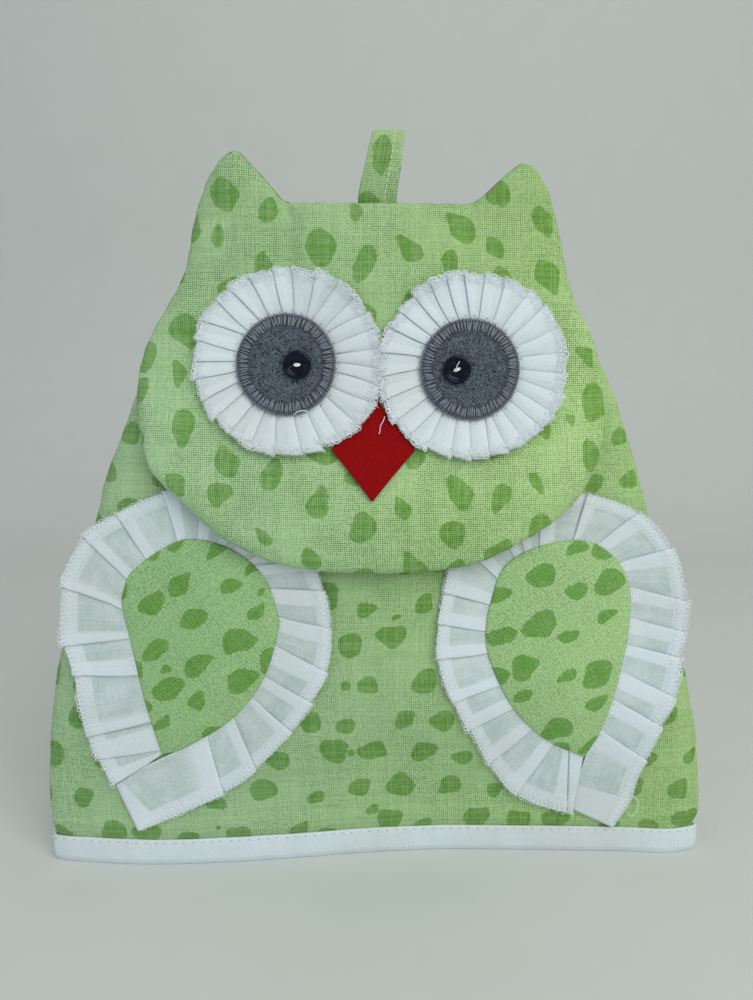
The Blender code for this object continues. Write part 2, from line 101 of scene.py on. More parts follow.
def ease(low: float, high: float, value: Array | float) -> Array:
    """Go smoothly from 0 at low to 1 at high; low may be above high."""
    t = np.clip((np.asarray(value, float) - low) / (high - low), 0.0, 1.0)
    return t * t * (3 - 2 * t)


def outline(xs: Sequence[float], zs: Sequence[float], sharp_first: bool = False) -> Array:
    """Draw a smooth closed outline through a table's rows.

    Args:
        xs: the rows' x.
        zs: the rows' z.
        sharp_first: whether the first row is a sharp corner.

    Returns:
        A dense line of x, z points that ends where it began.
    """
    p = np.column_stack([xs, zs]).astype(float)
    n = len(p)
    dense = []
    t = np.linspace(0, 1, 16, endpoint=False)[:, None]
    for i in range(n):
        a, b, c, d = p[(i - 1) % n], p[i], p[(i + 1) % n], p[(i + 2) % n]
        m0, m1 = (c - a) / 2, (d - b) / 2
        if sharp_first and i == 0:
            m0 = c - b
        if sharp_first and i == n - 1:
            m1 = c - b
        dense.append((2 * t**3 - 3 * t**2 + 1) * b + (t**3 - 2 * t**2 + t) * m0
                     + (3 * t**2 - 2 * t**3) * c + (t**3 - t**2) * m1)
    return np.vstack(dense + [p[:1]])


def unit(rows: Array) -> Array:
    """Make the length of each vector one."""
    return rows / np.maximum(np.linalg.norm(rows, axis=-1, keepdims=True), 1e-9)


def run_of(line: Array) -> Array:
    """Give how far along a line each of its points is."""
    return np.concatenate([[0.0], np.cumsum(np.linalg.norm(np.diff(line, axis=0), axis=1))])


def read_line(far: Array, run: Array, line: Array) -> Array:
    """Read a line of 3-D points at these distances, where run says how far along each point is."""
    return np.column_stack([np.interp(far, run, line[:, i]) for i in range(3)])


class Rail:
    """A line of x, z points that is read by how far along it one is."""

    def __init__(self, line: Array, closed: bool = False) -> None:
        """Measure the line, in millimetres."""
        self.line = line
        self.run = run_of(line)
        self.length = float(self.run[-1])
        self.closed = closed

    def at(self, far: Array | float) -> Array:
        """Read the line.

        Args:
            far: distances along it in millimetres.

        Returns:
            N by 2 points.
        """
        f = np.asarray(far, float)
        if self.closed:
            f = f % self.length
        ends = [np.interp(f, self.run, self.line[:, i]) for i in (0, 1)]
        if not self.closed:
            # Past its end the line runs straight on.
            over = np.clip(f - self.length, 0, None)
            way = (self.line[-1] - self.line[-3]) / np.linalg.norm(self.line[-1] - self.line[-3])
            ends = [ends[i] + over * way[i] for i in (0, 1)]
        return np.column_stack([e.ravel() for e in ends])


def nearest(x: Array, z: Array, line: Array) -> Array:
    """Measure how far a grid's points are from an outline, a block at a time.

    Args:
        x: the grid's x.
        z: the grid's z.
        line: dense points of the outline.

    Returns:
        A distance for each point of the grid.
    """
    points, block = np.column_stack([x.ravel(), z.ravel()]), 4000
    out = np.empty(len(points))
    for i in range(0, len(points), block):
        part = points[i:i + block]
        out[i:i + block] = np.sqrt(((part[:, None, :] - line[None, :, :]) ** 2).sum(axis=2).min(axis=1))
    return out.reshape(x.shape)


def rounded(depth: Array, radius: float) -> Array:
    """Rise from 0 at an edge to 1 at this depth, in a quarter round."""
    return np.sqrt(np.clip(1 - (1 - np.clip(depth / radius, 0, 1)) ** 2, 0, 1))


def lumps(points: Array, size: float, seed: float) -> Array:
    """Give soft unevenness, from -1 to 1, for points in millimetres.

    Args:
        points: N by 3 points.
        size: width of a lump in millimetres.
        seed: offset that picks another field.

    Returns:
        One value a point.
    """
    shift = Vector((seed * 7.3, seed * 3.1, seed * 5.7))
    return np.array([noise.noise(Vector(p) / size + shift) for p in points])


def face_lumps(x: Array, z: Array, size: float, seed: float) -> Array:
    """Give the same unevenness for a grid seen from the front."""
    return lumps(np.column_stack([x.ravel(), np.zeros(x.size), z.ravel()]), size, seed).reshape(x.shape)


def row_frame(points: Array) -> Array:
    """Carry drawn points, in millimetres, to the part's frame in metres."""
    return (np.asarray(points, float) + SHIFT) / MM


# --------------------------------------------------------------- the draft lines
@dataclass(frozen=True)
class PanelDraft:
    """The body's cut, a row for each height, in millimetres."""

    z: Row = (
        1.6, 12.6, 19.0, 32.0, 55.0, 80.0, 105., 130., 155., 180., 200., 220., 240., 258., 272., 283.,
        289.)
    left: Row = (
        -149.2, -149.2, -150.6, -152.0, -152.1, -150.4, -144.6, -136.4, -127.6, -120.2, -111.8, -103.4,
        -90.5, -74., -57., -38., -22.)
    right: Row = (
        150.6, 150.6, 152.2, 152.4, 150.4, 145.1, 138.4, 131.6, 124.4, 116.8, 109.8, 102.4, 91.0, 75.0,
        58.0, 40.0, 24.0)
    deep: Row = (
        20.6, 20.6, 22.6, 24.2, 24.4, 23.6, 22.4, 20.9, 19.2, 17.2, 15.1, 12.9, 10.5, 8.1, 6.0, 4.1, 2.6)
    pad: Row = (
        3.6, 3.6, 5.2, 6.6, 7.0, 7.0, 7.0, 7.0, 7.0, 6.8, 6.5, 6.2, 5.6, 4.8, 4.0, 3.4, 2.45)
    square: float = 4.0
    loop_x: float = 0.4
    # Near the hem the sides lean forward, and the front falls back on the right.
    hem_u: Row = (
        -1.0, -0.975, -0.94, -0.88, -0.8, -0.7, -0.56, -0.4, -0.2, 0.0, 0.2, 0.4, 0.56, 0.7, 0.8, 0.88,
        0.94, 0.975, 1.0)
    hem_deep: Row = (
        6.0, 7.7, 8.5, 10.8, 13.7, 16.2, 18.1, 18.7, 17.2, 14.2, 11.8, 11.0, 10.2, 9.4, 8.8, 9.5, 9.3,
        7.2, 6.0)
    forward: Point2 = (17.5, 10.0)
    fade: Point2 = (95.0, 14.0)

    def size(self, z: Array) -> tuple[Array, Array, Array, Array]:
        """Give the middle, half width, depth and padding at these heights."""
        left, right = track(self.z, self.left, z), track(self.z, self.right, z)
        return (left + right) / 2, (right - left) / 2, track(self.z, self.deep, z), track(self.z, self.pad, z)

    def loop_room(self, x: Array, z: Array, wide: float = 0.0) -> Array:
        """Tell how far the top seam opens for the ends of the hanging loop."""
        return (2.15 * ease(21.0 + wide, 14.5 + wide, np.abs(x - self.loop_x))
                * ease(257.0 - wide / 2, 271.0 - wide / 2, z))

    def oval(self, shares: Array) -> tuple[Array, Array]:
        """Go round the body's oval in even steps, clockwise from -X through +Y.

        Args:
            shares: how far round, from 0 to 1.

        Returns:
            The oval's x and y as shares of the half width and the depth.
        """
        t = np.linspace(0, 2 * math.pi, 4001)
        x = -np.sign(np.cos(t)) * np.abs(np.cos(t)) ** (2 / self.square)
        y = np.sign(np.sin(t)) * np.abs(np.sin(t)) ** (2 / self.square)
        run = np.concatenate([[0.0], np.cumsum(np.hypot(np.diff(x) * 150.0, np.diff(y) * 22.0))])
        at = np.asarray(shares, float) * run[-1]
        return np.interp(at, run, x), np.interp(at, run, y)

    def seam_y(self, u: Array, z: Array) -> Array:
        """Give the plane between the panels at shares of the half width."""
        return -np.where(np.asarray(u) < 0, *self.forward) * np.square(u) * ease(*self.fade, z)

    def front_deep(self, u: Array, z: Array) -> Array:
        """Give the front panel's depth from that plane."""
        share = ease(*self.fade, z)
        low = np.interp(np.asarray(u, float), *self.smooth_hem)
        return low * share + track(self.z, self.deep, z) * (1 - share)

    @cached_property
    def smooth_hem(self) -> tuple[Array, Array]:
        """Draw the front's depth at the hem as a smooth line."""
        u = np.linspace(-1, 1, 401)
        rough = np.interp(u, self.hem_u, self.hem_deep)
        weights = np.exp(-(np.arange(-12, 13) / 7.0) ** 2)
        return u, np.convolve(np.pad(rough, 12, mode="edge"), weights / weights.sum(), mode="valid")

    def front(self, x: Array, z: Array, wide: float = 0.0) -> Array:
        """Give the front panel's face, eased near the side seams."""
        middle, half, _, _ = self.size(z)
        u = np.clip((x - middle) / half, -0.86, 0.86)
        g = (1 - np.abs(u) ** self.square) ** (1 / self.square)
        return self.seam_y(u, z) - self.front_deep(u, z) * g - self.loop_room(x, z, wide)


@dataclass(frozen=True)
class HeadDraft:
    """The head's cut and how it is padded, in millimetres."""

    x: Row = (
        -37.5, -44.2, -52.8, -58.9, -65.3, -71.0, -76.6, -80.6, -86.9, -95.5, -100.5, -102.2, -100.3,
        -96.0, -81.2, -68.9, -56.8, -43.3, -27.3, -3.0, 26.1, 46.1, 66.3, 77.2, 87.0, 94.1, 97.2, 95.5,
        91.7, 85.0, 80.0, 77.5, 74.5, 70.6, 62.8, 55.6, 47.2, 41.0, 30.0, -20.0)
    z: Row = (
        295.5, 301.6, 310.8, 315.6, 311.8, 303.5, 288.7, 268.0, 255.2, 240.8, 227.7, 214.4, 199.0, 184.0,
        169.4, 157.8, 150.7, 144.8, 141.6, 140.2, 141.6, 146.1, 156.5, 164.2, 174.6, 189.0, 205.0, 225.0,
        239.5, 252.0, 268.0, 281.0, 292.6, 302.6, 310.6, 307.2, 299.9, 295.4, 294.3, 294.5)
    centre: Point2 = (-2.0, 222.0)
    edge: float = 2.6
    loft: float = 6.4
    lift: float = 5.5


@dataclass(frozen=True)
class WingDraft:
    """A wing's teardrop and its pleated strip, in millimetres.

    Both outlines run clockwise, the teardrop from its tip and the strip from
    the corner of its cut end. Each fold is how far along the outer edge and
    the sewn edge it lies. The last row is the strip's end, which passes the
    tip and lies over the strip's beginning.
    """

    name: str
    panel_x: Row
    panel_z: Row
    edge_x: Row
    edge_z: Row
    folds: tuple[Point2, ...]
    centre: Point2
    seed: int
    cloth_turn: float
    tail: float
    loose_loop: bool = False


@dataclass(frozen=True)
class EyeDraft:
    """Where an eye's ruffle, felt and button are sewn, in millimetres."""

    name: str
    ruffle: Point2
    felt: Point2
    felt_radius: float
    button: Point2
    seed: int
    turn: float
    thread_tail: bool


LEFT_WING = WingDraft(
    "left",
    (-96.5, -103.1, -108.2, -112.0, -110.7, -106.6, -91.2, -78.4, -61.6, -49.2, -43.7, -43.8, -50.5,
     -64.3, -85.4),
    (55.1, 80.0, 105.3, 123.6, 131.2, 138.8, 149.7, 153.0, 147.9, 136.2, 120.1, 111.5, 90.7, 72.6, 58.8),
    (-108.6, -118.6, -127.4, -133.3, -135.9, -139.5, -138.5, -135.9, -126.8, -111.6, -90.8, -69.4, -49.2,
     -33.0, -23.0, -19.9, -21.8, -34.5, -54.8, -69.4),
    (18.0, 40.0, 55.8, 75.1, 94.5, 107.5, 131.7, 140.3, 155.4, 165.0, 174.2, 176.1, 170.5, 157.6, 131.7,
     113.4, 93.5, 70.4, 46.6, 36.0),
    ((25, 0), (39, 2), (50, 16), (79, 38), (93, 55), (120, 68), (145, 82), (163, 95), (186, 111),
      (204, 120), (221, 129), (237, 136), (251, 144), (265, 148), (280, 160), (297, 173), (317, 186),
      (333, 201), (350, 212), (375, 225), (394, 240), (437, 289)),
    (-80.0, 110.0), 11, -0.95, 0.755)
RIGHT_WING = WingDraft(
    "right",
    (95.1, 76.6, 61.4, 51.1, 48.2, 50.5, 56.6, 71.2, 90.2, 104.5, 111.4, 111.6, 107.5, 101.5),
    (50.7, 60.6, 76.6, 97.2, 111.5, 126.7, 142.1, 149.9, 152.2, 144.0, 131.0, 112.5, 88.5, 64.9),
    (111.5, 90.6, 74.4, 58.6, 41.5, 29.4, 26.5, 30.5, 36.9, 53.1, 72.5, 92.3, 113.7, 129.3, 135.3, 137.2,
     135.6, 134.2, 129.4, 124.5, 120.9, 118.0),
    (12.9, 21.2, 25.2, 36.2, 65.9, 90.2, 108.9, 138.1, 155.4, 169.7, 174.7, 172.8, 165.2, 148.9, 132.4,
     118.5, 100.6, 80.3, 67.1, 50.8, 41.1, 25.4),
    ((21, 0), (24, 8), (50, 16), (72, 29), (93, 43), (109, 56), (131, 72), (147, 82), (161, 94),
      (184, 106), (203, 118), (214, 123), (228, 130), (248, 145), (273, 156), (295, 169), (320, 181),
      (334, 195), (346, 207), (365, 219), (380, 233), (398, 249), (436, 293)),
    (80.0, 108.0), 23, -1.1, 0.57, True)
LEFT_EYE = EyeDraft("left", (-37.0, 229.5), (-37.2, 228.0), 20.3, (-32.4, 227.7), 5, 0.01, False)
RIGHT_EYE = EyeDraft("right", (40.0, 227.4), (38.5, 226.0), 20.2, (32.8, 225.8), 8, 0.02, True)


class Shapes:
    """The surfaces that the layers of cloth lie on."""

    def __init__(self) -> None:
        """Set out the body and the head from their drafts."""
        self.body = PanelDraft()
        self.head = HeadDraft()
        self.head_rail = Rail(outline(self.head.x, self.head.z), True)
        self.head_line = self.head_rail.at(np.linspace(0, self.head_rail.length, 900, endpoint=False))

    def head_back(self, x: Array, z: Array) -> Array:
        """Give the head's back face: on the body above, lifted over the wings below."""
        return (self.body.front(x, np.minimum(z, 289.0), 15.0) - GAP - 0.25
                - self.head.lift * ease(224.0, 174.0, z))

    def head_front(self, x: Array, z: Array) -> Array:
        """Give the head's padded face, rolled in towards its sewn edge."""
        x, z = np.asarray(x, float), np.asarray(z, float)
        deep = nearest(x, z, self.head_line)
        share = 0.62 * rounded(deep, 9.0) + 0.38 * (1 - np.exp(-deep / 26.0))
        return self.head_back(x, z) - self.head.edge - self.head.loft * share


# ------------------------------------------------------------------ mesh making
@dataclass
class ClothMesh:
    """A mesh being drawn: points, faces and what its finish reads."""

    points: Array
    faces: list[tuple[int, ...]]
    uv: Array | None = None
    values: dict[str, Array] = field(default_factory=dict)

    def to_object(self, name: str, finish: Material) -> Thing:
        """Make the object in the part's frame, with its faces shaded smooth.

        Args:
            name: the piece's name.
            finish: its material.

        Returns:
            The linked object, at the origin.
        """
        mesh = bpy.data.meshes.new(name)
        mesh.from_pydata([tuple(p) for p in row_frame(self.points)], [], self.faces)
        if self.uv is not None:
            layer = mesh.uv_layers.new(name="cloth")
            index = np.empty(len(mesh.loops), dtype=np.int32)
            mesh.loops.foreach_get("vertex_index", index)
            layer.data.foreach_set("uv", (self.uv[index] / MAP_MM).astype(np.float32).ravel())
        for key, values in self.values.items():
            attribute = mesh.attributes.new(key, "FLOAT", "POINT")
            attribute.data.foreach_set("value", np.asarray(values, np.float32))
        mesh.validate()
        mesh.materials.append(finish)
        mesh.polygons.foreach_set("use_smooth", [True] * len(mesh.polygons))
        thing = add_object(name, mesh)
        face_outwards(mesh)
        return thing


def add_object(name: str, data: bpy.types.ID) -> Thing:
    """Put an object with this data into the scene."""
    thing = bpy.data.objects.new(name, data)
    bpy.context.scene.collection.objects.link(thing)
    return thing


def rings_round(centre: Array, line: Array, shares: Sequence[float]) -> Array:
    """Draw an outline again at these shares of its size, about its middle."""
    return centre + (line[None, :, :] - centre) * np.asarray(shares)[:, None, None]


def face_outwards(mesh: bpy.types.Mesh) -> None:
    """Turn a closed mesh's faces outwards where its volume reads negative."""
    mesh.calc_loop_triangles()
    points = np.array([v.co for v in mesh.vertices])
    corners = np.array([t.vertices for t in mesh.loop_triangles])
    a, b, c = points[corners[:, 0]], points[corners[:, 1]], points[corners[:, 2]]
    if np.einsum("ij,ij->i", a, np.cross(b, c)).sum() < 0:
        mesh.flip_normals()
    mesh.update()


def as_faces(parts: Sequence[Array]) -> list[tuple[int, ...]]:
    """List the rows of several arrays of corners as faces."""
    return [tuple(row) for part in parts for row in part.tolist()]


def tube_faces(rows: int, cols: int, wrap: bool = False) -> list[tuple[int, ...]]:
    """Join a grid into a tube.

    Args:
        rows: rings of points along the tube.
        cols: points round each ring.
        wrap: whether the last ring joins the first.

    Returns:
        The faces.
    """
    r = np.arange(rows if wrap else rows - 1)[:, None]
    c = np.arange(cols)[None, :]
    here, ahead, beside = r * cols, (r + 1) % rows * cols, (c + 1) % cols
    corners = np.broadcast_arrays(here + c, here + beside, ahead + beside, ahead + c)
    return as_faces([np.stack(corners, -1).reshape(-1, 4)])


def shell(front: Array, back: Array, ring: bool = False) -> Solid:
    """Close two matching grids of points into one body.

    Args:
        front: rows by columns by 3.
        back: the same grid on the other side.
        ring: whether the columns close on themselves.

    Returns:
        The points and the faces.
    """
    rows, cols = front.shape[:2]
    off = rows * cols
    points = np.concatenate([front.reshape(-1, 3), back.reshape(-1, 3)])
    r = np.arange(rows - 1)[:, None]
    c = np.arange(cols if ring else cols - 1)[None, :]
    d = (c + 1) % cols
    corners = np.broadcast_arrays(r * cols + c, r * cols + d, (r + 1) * cols + d, (r + 1) * cols + c)
    quads = np.stack(corners, -1).reshape(-1, 4)
    parts = [quads, off + quads[:, ::-1]]
    c, d = c.ravel(), d.ravel()
    top = (rows - 1) * cols
    parts.append(np.stack([c, off + c, off + d, d], -1))
    parts.append(np.stack([top + c, top + d, off + top + d, off + top + c], -1))
    if not ring:
        a, b = r.ravel() * cols, (r.ravel() + 1) * cols
        parts.append(np.stack([a, b, off + b, off + a], -1))
        a, b = a + cols - 1, b + cols - 1
        parts.append(np.stack([a, off + a, off + b, b], -1))
    return points, as_faces(parts)


def disc(rings: Array, front: Array, back: Array) -> Solid:
    """Close a flat piece drawn as rings round its middle.

    Args:
        rings: rings by columns by 2, x and z, from the middle out.
        front: the front face's y at each.
        back: the back face's y at each.

    Returns:
        The points and the faces.
    """
    count, cols = rings.shape[:2]
    sides = []
    for y in (front, back):
        grid = np.stack([rings[..., 0], y, rings[..., 1]], -1)
        sides.append(np.vstack([grid[0].mean(axis=0)[None, :], grid.reshape(-1, 3)]))
    off = 1 + count * cols
    c = np.arange(cols)
    d = (c + 1) % cols
    parts = []
    for base, step in ((0, 1), (off, -1)):
        parts.append(np.stack([np.full(cols, base), base + 1 + c, base + 1 + d], -1)[:, ::step])
        for k in range(count - 1):
            a, b = base + 1 + k * cols, base + 1 + (k + 1) * cols
            parts.append(np.stack([a + c, b + c, b + d, a + d], -1)[:, ::step])
    edge = 1 + (count - 1) * cols
    parts.append(np.stack([edge + c, off + edge + c, off + edge + d, edge + d], -1))
    return np.vstack(sides), as_faces(parts)


# ---------------------------------------------------------------------- finishes
def linear(code: str) -> tuple[float, float, float, float]:
    """Turn an sRGB hex colour into linear red, green, blue and alpha."""
    parts = [int(code[i:i + 2], 16) / 255.0 for i in (1, 3, 5)]
    return tuple([p / 12.92 if p <= 0.04045 else ((p + 0.055) / 1.055) ** 2.4 for p in parts] + [1.0])


def add_node(tree: bpy.types.NodeTree, kind: str, inputs: dict | None = None,
             **settings: object) -> bpy.types.Node:
    """Add a node with its settings and links.

    Args:
        tree: the tree that takes it.
        kind: the node's type name.
        inputs: for each input, by name or number, a socket to link or a value.
        settings: attributes of the node.

    Returns:
        The node.
    """
    node = tree.nodes.new(kind)
    for key, value in settings.items():
        setattr(node, key, value)
    for key, value in (inputs or {}).items():
        socket = node.inputs[key]
        if isinstance(value, Socket):
            tree.links.new(value, socket)
        else:
            socket.default_value = value
    return node


@dataclass(frozen=True)
class Form:
    """A node as the finishes use it.

    The order says which inputs a call's values go to, and fixed holds the
    inputs that are the same each time.
    """

    kind: str
    settings: dict[str, object] = field(default_factory=dict)
    order: tuple[int | str, ...] = (0, 1, 2)
    output: int | str = 0
    fixed: dict[str, float] = field(default_factory=dict)


NOISE = ("ShaderNodeTexNoise", {"noise_dimensions": "3D"}, ("Vector", "Scale", "Detail"))
FORMS = {
    "NOISE": Form(*NOISE, 0, {"Roughness": 0.55}),
    "COLOUR_NOISE": Form(*NOISE, 1, {"Roughness": 0.55}),
    "BETWEEN": Form("ShaderNodeMapRange", {"interpolation_type": "SMOOTHSTEP"}, (0, 1, 2, 3, 4)),
    "MIX": Form("ShaderNodeMix", {"data_type": "RGBA", "blend_type": "MIX"}, (0, 6, 7), 2),
    "TINT": Form("ShaderNodeMix", {"data_type": "RGBA", "blend_type": "MULTIPLY"}, (0, 6, 7), 2),
    "SCALE": Form("ShaderNodeVectorMath", {"operation": "SCALE"}, (0, 3)),
    "VECTOR_ADD": Form("ShaderNodeVectorMath", {"operation": "ADD"}),
    "VECTOR_SUBTRACT": Form("ShaderNodeVectorMath", {"operation": "SUBTRACT"}),
    "VECTOR_FLOOR": Form("ShaderNodeVectorMath", {"operation": "FLOOR"}),
    "JOIN": Form("ShaderNodeCombineXYZ"),
    "CHANCE": Form("ShaderNodeTexWhiteNoise", {"noise_dimensions": "3D"}, ("Vector",), "Value"),
    "CLOTH_MAP": Form("ShaderNodeUVMap", {"uv_map": "cloth"}),
    "OBJECT_PLACE": Form("ShaderNodeTexCoord", output="Object"),
    "MARK": Form("ShaderNodeAttribute", output="Fac"),
}
MIDDLE = (0.5, 0.5, 0.5)  # what a colour noise varies about


class Weaver:
    """Node arithmetic for one material tree."""

    def __init__(self, name: str) -> None:
        """Start a material with an empty tree."""
        self.material = bpy.data.materials.new(name)
        self.material.use_nodes = True
        self.tree = self.material.node_tree
        self.tree.nodes.clear()

    def do(self, form: str, *values: object, **settings: object) -> Socket:
        """Add a node that works something out.

        Args:
            form: one of the forms, or else what a maths node does.
            values: a socket or a value for each of its inputs, in order.
            settings: any further settings of the node.

        Returns:
            Its output.
        """
        use = FORMS.get(form) or Form("ShaderNodeMath", {"operation": form})
        inputs = {**dict(zip(use.order, values)), **use.fixed}
        return add_node(self.tree, use.kind, inputs, **use.settings, **settings).outputs[use.output]

    def cloth_mm(self) -> Socket:
        """Give the cloth's own map, in millimetres."""
        return self.do("SCALE", self.do("CLOTH_MAP"), MAP_MM)

    def object_mm(self) -> Socket:
        """Give the object's own coordinates, in millimetres."""
        return self.do("SCALE", self.do("OBJECT_PLACE"), MM)

    def finish(self, colour: object, rough: object, bump: object = None, deep: float = 0.0001,
               strength: float = 1.0, **fixed: object) -> Material:
        """Join the colour, roughness and relief to the surface.

        Args:
            colour: socket or value of the base colour.
            rough: socket or value of the roughness.
            bump: height socket, if the surface has relief.
            deep: what a height of one is, in metres.
            strength: how strongly the relief turns the light.
            fixed: sockets of the shader with one value all over.

        Returns:
            The finished material.
        """
        inputs: dict = {"Base Color": colour, "Roughness": rough}
        if bump is not None:
            relief = add_node(self.tree, "ShaderNodeBump",
                              {"Height": bump, "Distance": deep, "Strength": strength})
            inputs["Normal"] = relief.outputs[0]
        inputs.update({key.replace("_", " "): value for key, value in fixed.items()})
        shader = add_node(self.tree, "ShaderNodeBsdfPrincipled", inputs)
        add_node(self.tree, "ShaderNodeOutputMaterial", {"Surface": shader.outputs[0]})
        return self.material

    def weave(self, at: Socket, pitch: float,
              sides: float = 0.05) -> tuple[Socket, ...]:
        """Draw a plain weave of handspun unevenness.

        Args:
            at: the cloth's map in millimetres.
            pitch: thread spacing in millimetres.
            sides: how much shade lies along the threads, away from the holes.

        Returns:
            The height of the threads, the shade between them, which is light
            along a thread's side and full in the holes at the corners, and a
            tone from 0 to 1 that differs from thread to thread.
        """
        sway = self.do("VECTOR_SUBTRACT", self.do("COLOUR_NOISE", at, 0.06, 1.0), MIDDLE)
        bent = self.do("VECTOR_ADD", at, self.do("SCALE", sway, 1.6))
        split = add_node(self.tree, "ShaderNodeSeparateXYZ", {0: self.do("SCALE", bent, 1.0 / pitch)})
        u, v = split.outputs[0], split.outputs[1]
        warp = self.do("ABSOLUTE", self.do("SINE", self.do("MULTIPLY", u, math.pi)))
        weft = self.do("ABSOLUTE", self.do("SINE", self.do("MULTIPLY", v, math.pi)))
        thread_u, thread_v = self.do("FLOOR", u), self.do("FLOOR", v)
        over_u = self.do("SINE", self.do("MULTIPLY", self.do("ADD", v, thread_u), math.pi))
        over_v = self.do("SINE", self.do("MULTIPLY", self.do("ADD", u, thread_v), math.pi))
        one = self.do("MULTIPLY", warp, self.do("MULTIPLY_ADD", over_u, 0.4, 0.6))
        two = self.do("MULTIPLY", weft, self.do("MULTIPLY_ADD", over_v, -0.4, 0.6))
        side_u, side_v = self.do("BETWEEN", warp, 0.96, 0.5), self.do("BETWEEN", weft, 0.96, 0.5)
        corner = self.do("CHANCE", self.do("JOIN", self.do("ROUND", u), self.do("ROUND", v), 3.0))
        hole = self.do("MULTIPLY", self.do("MULTIPLY", side_u, side_v),
                       self.do("BETWEEN", corner, 0.1, 0.9, 0.3, 1.15))
        gap = self.do("MULTIPLY_ADD", self.do("ADD", side_u, side_v), sides, hole)
        tone_u = self.do("CHANCE", self.do("JOIN", thread_u, 7.0, 0.0))
        tone_v = self.do("CHANCE", self.do("JOIN", thread_v, 0.0, 5.0))
        tone = self.do("MULTIPLY", self.do("ADD", tone_u, tone_v), 0.5)
        return self.do("MAXIMUM", one, two), gap, tone


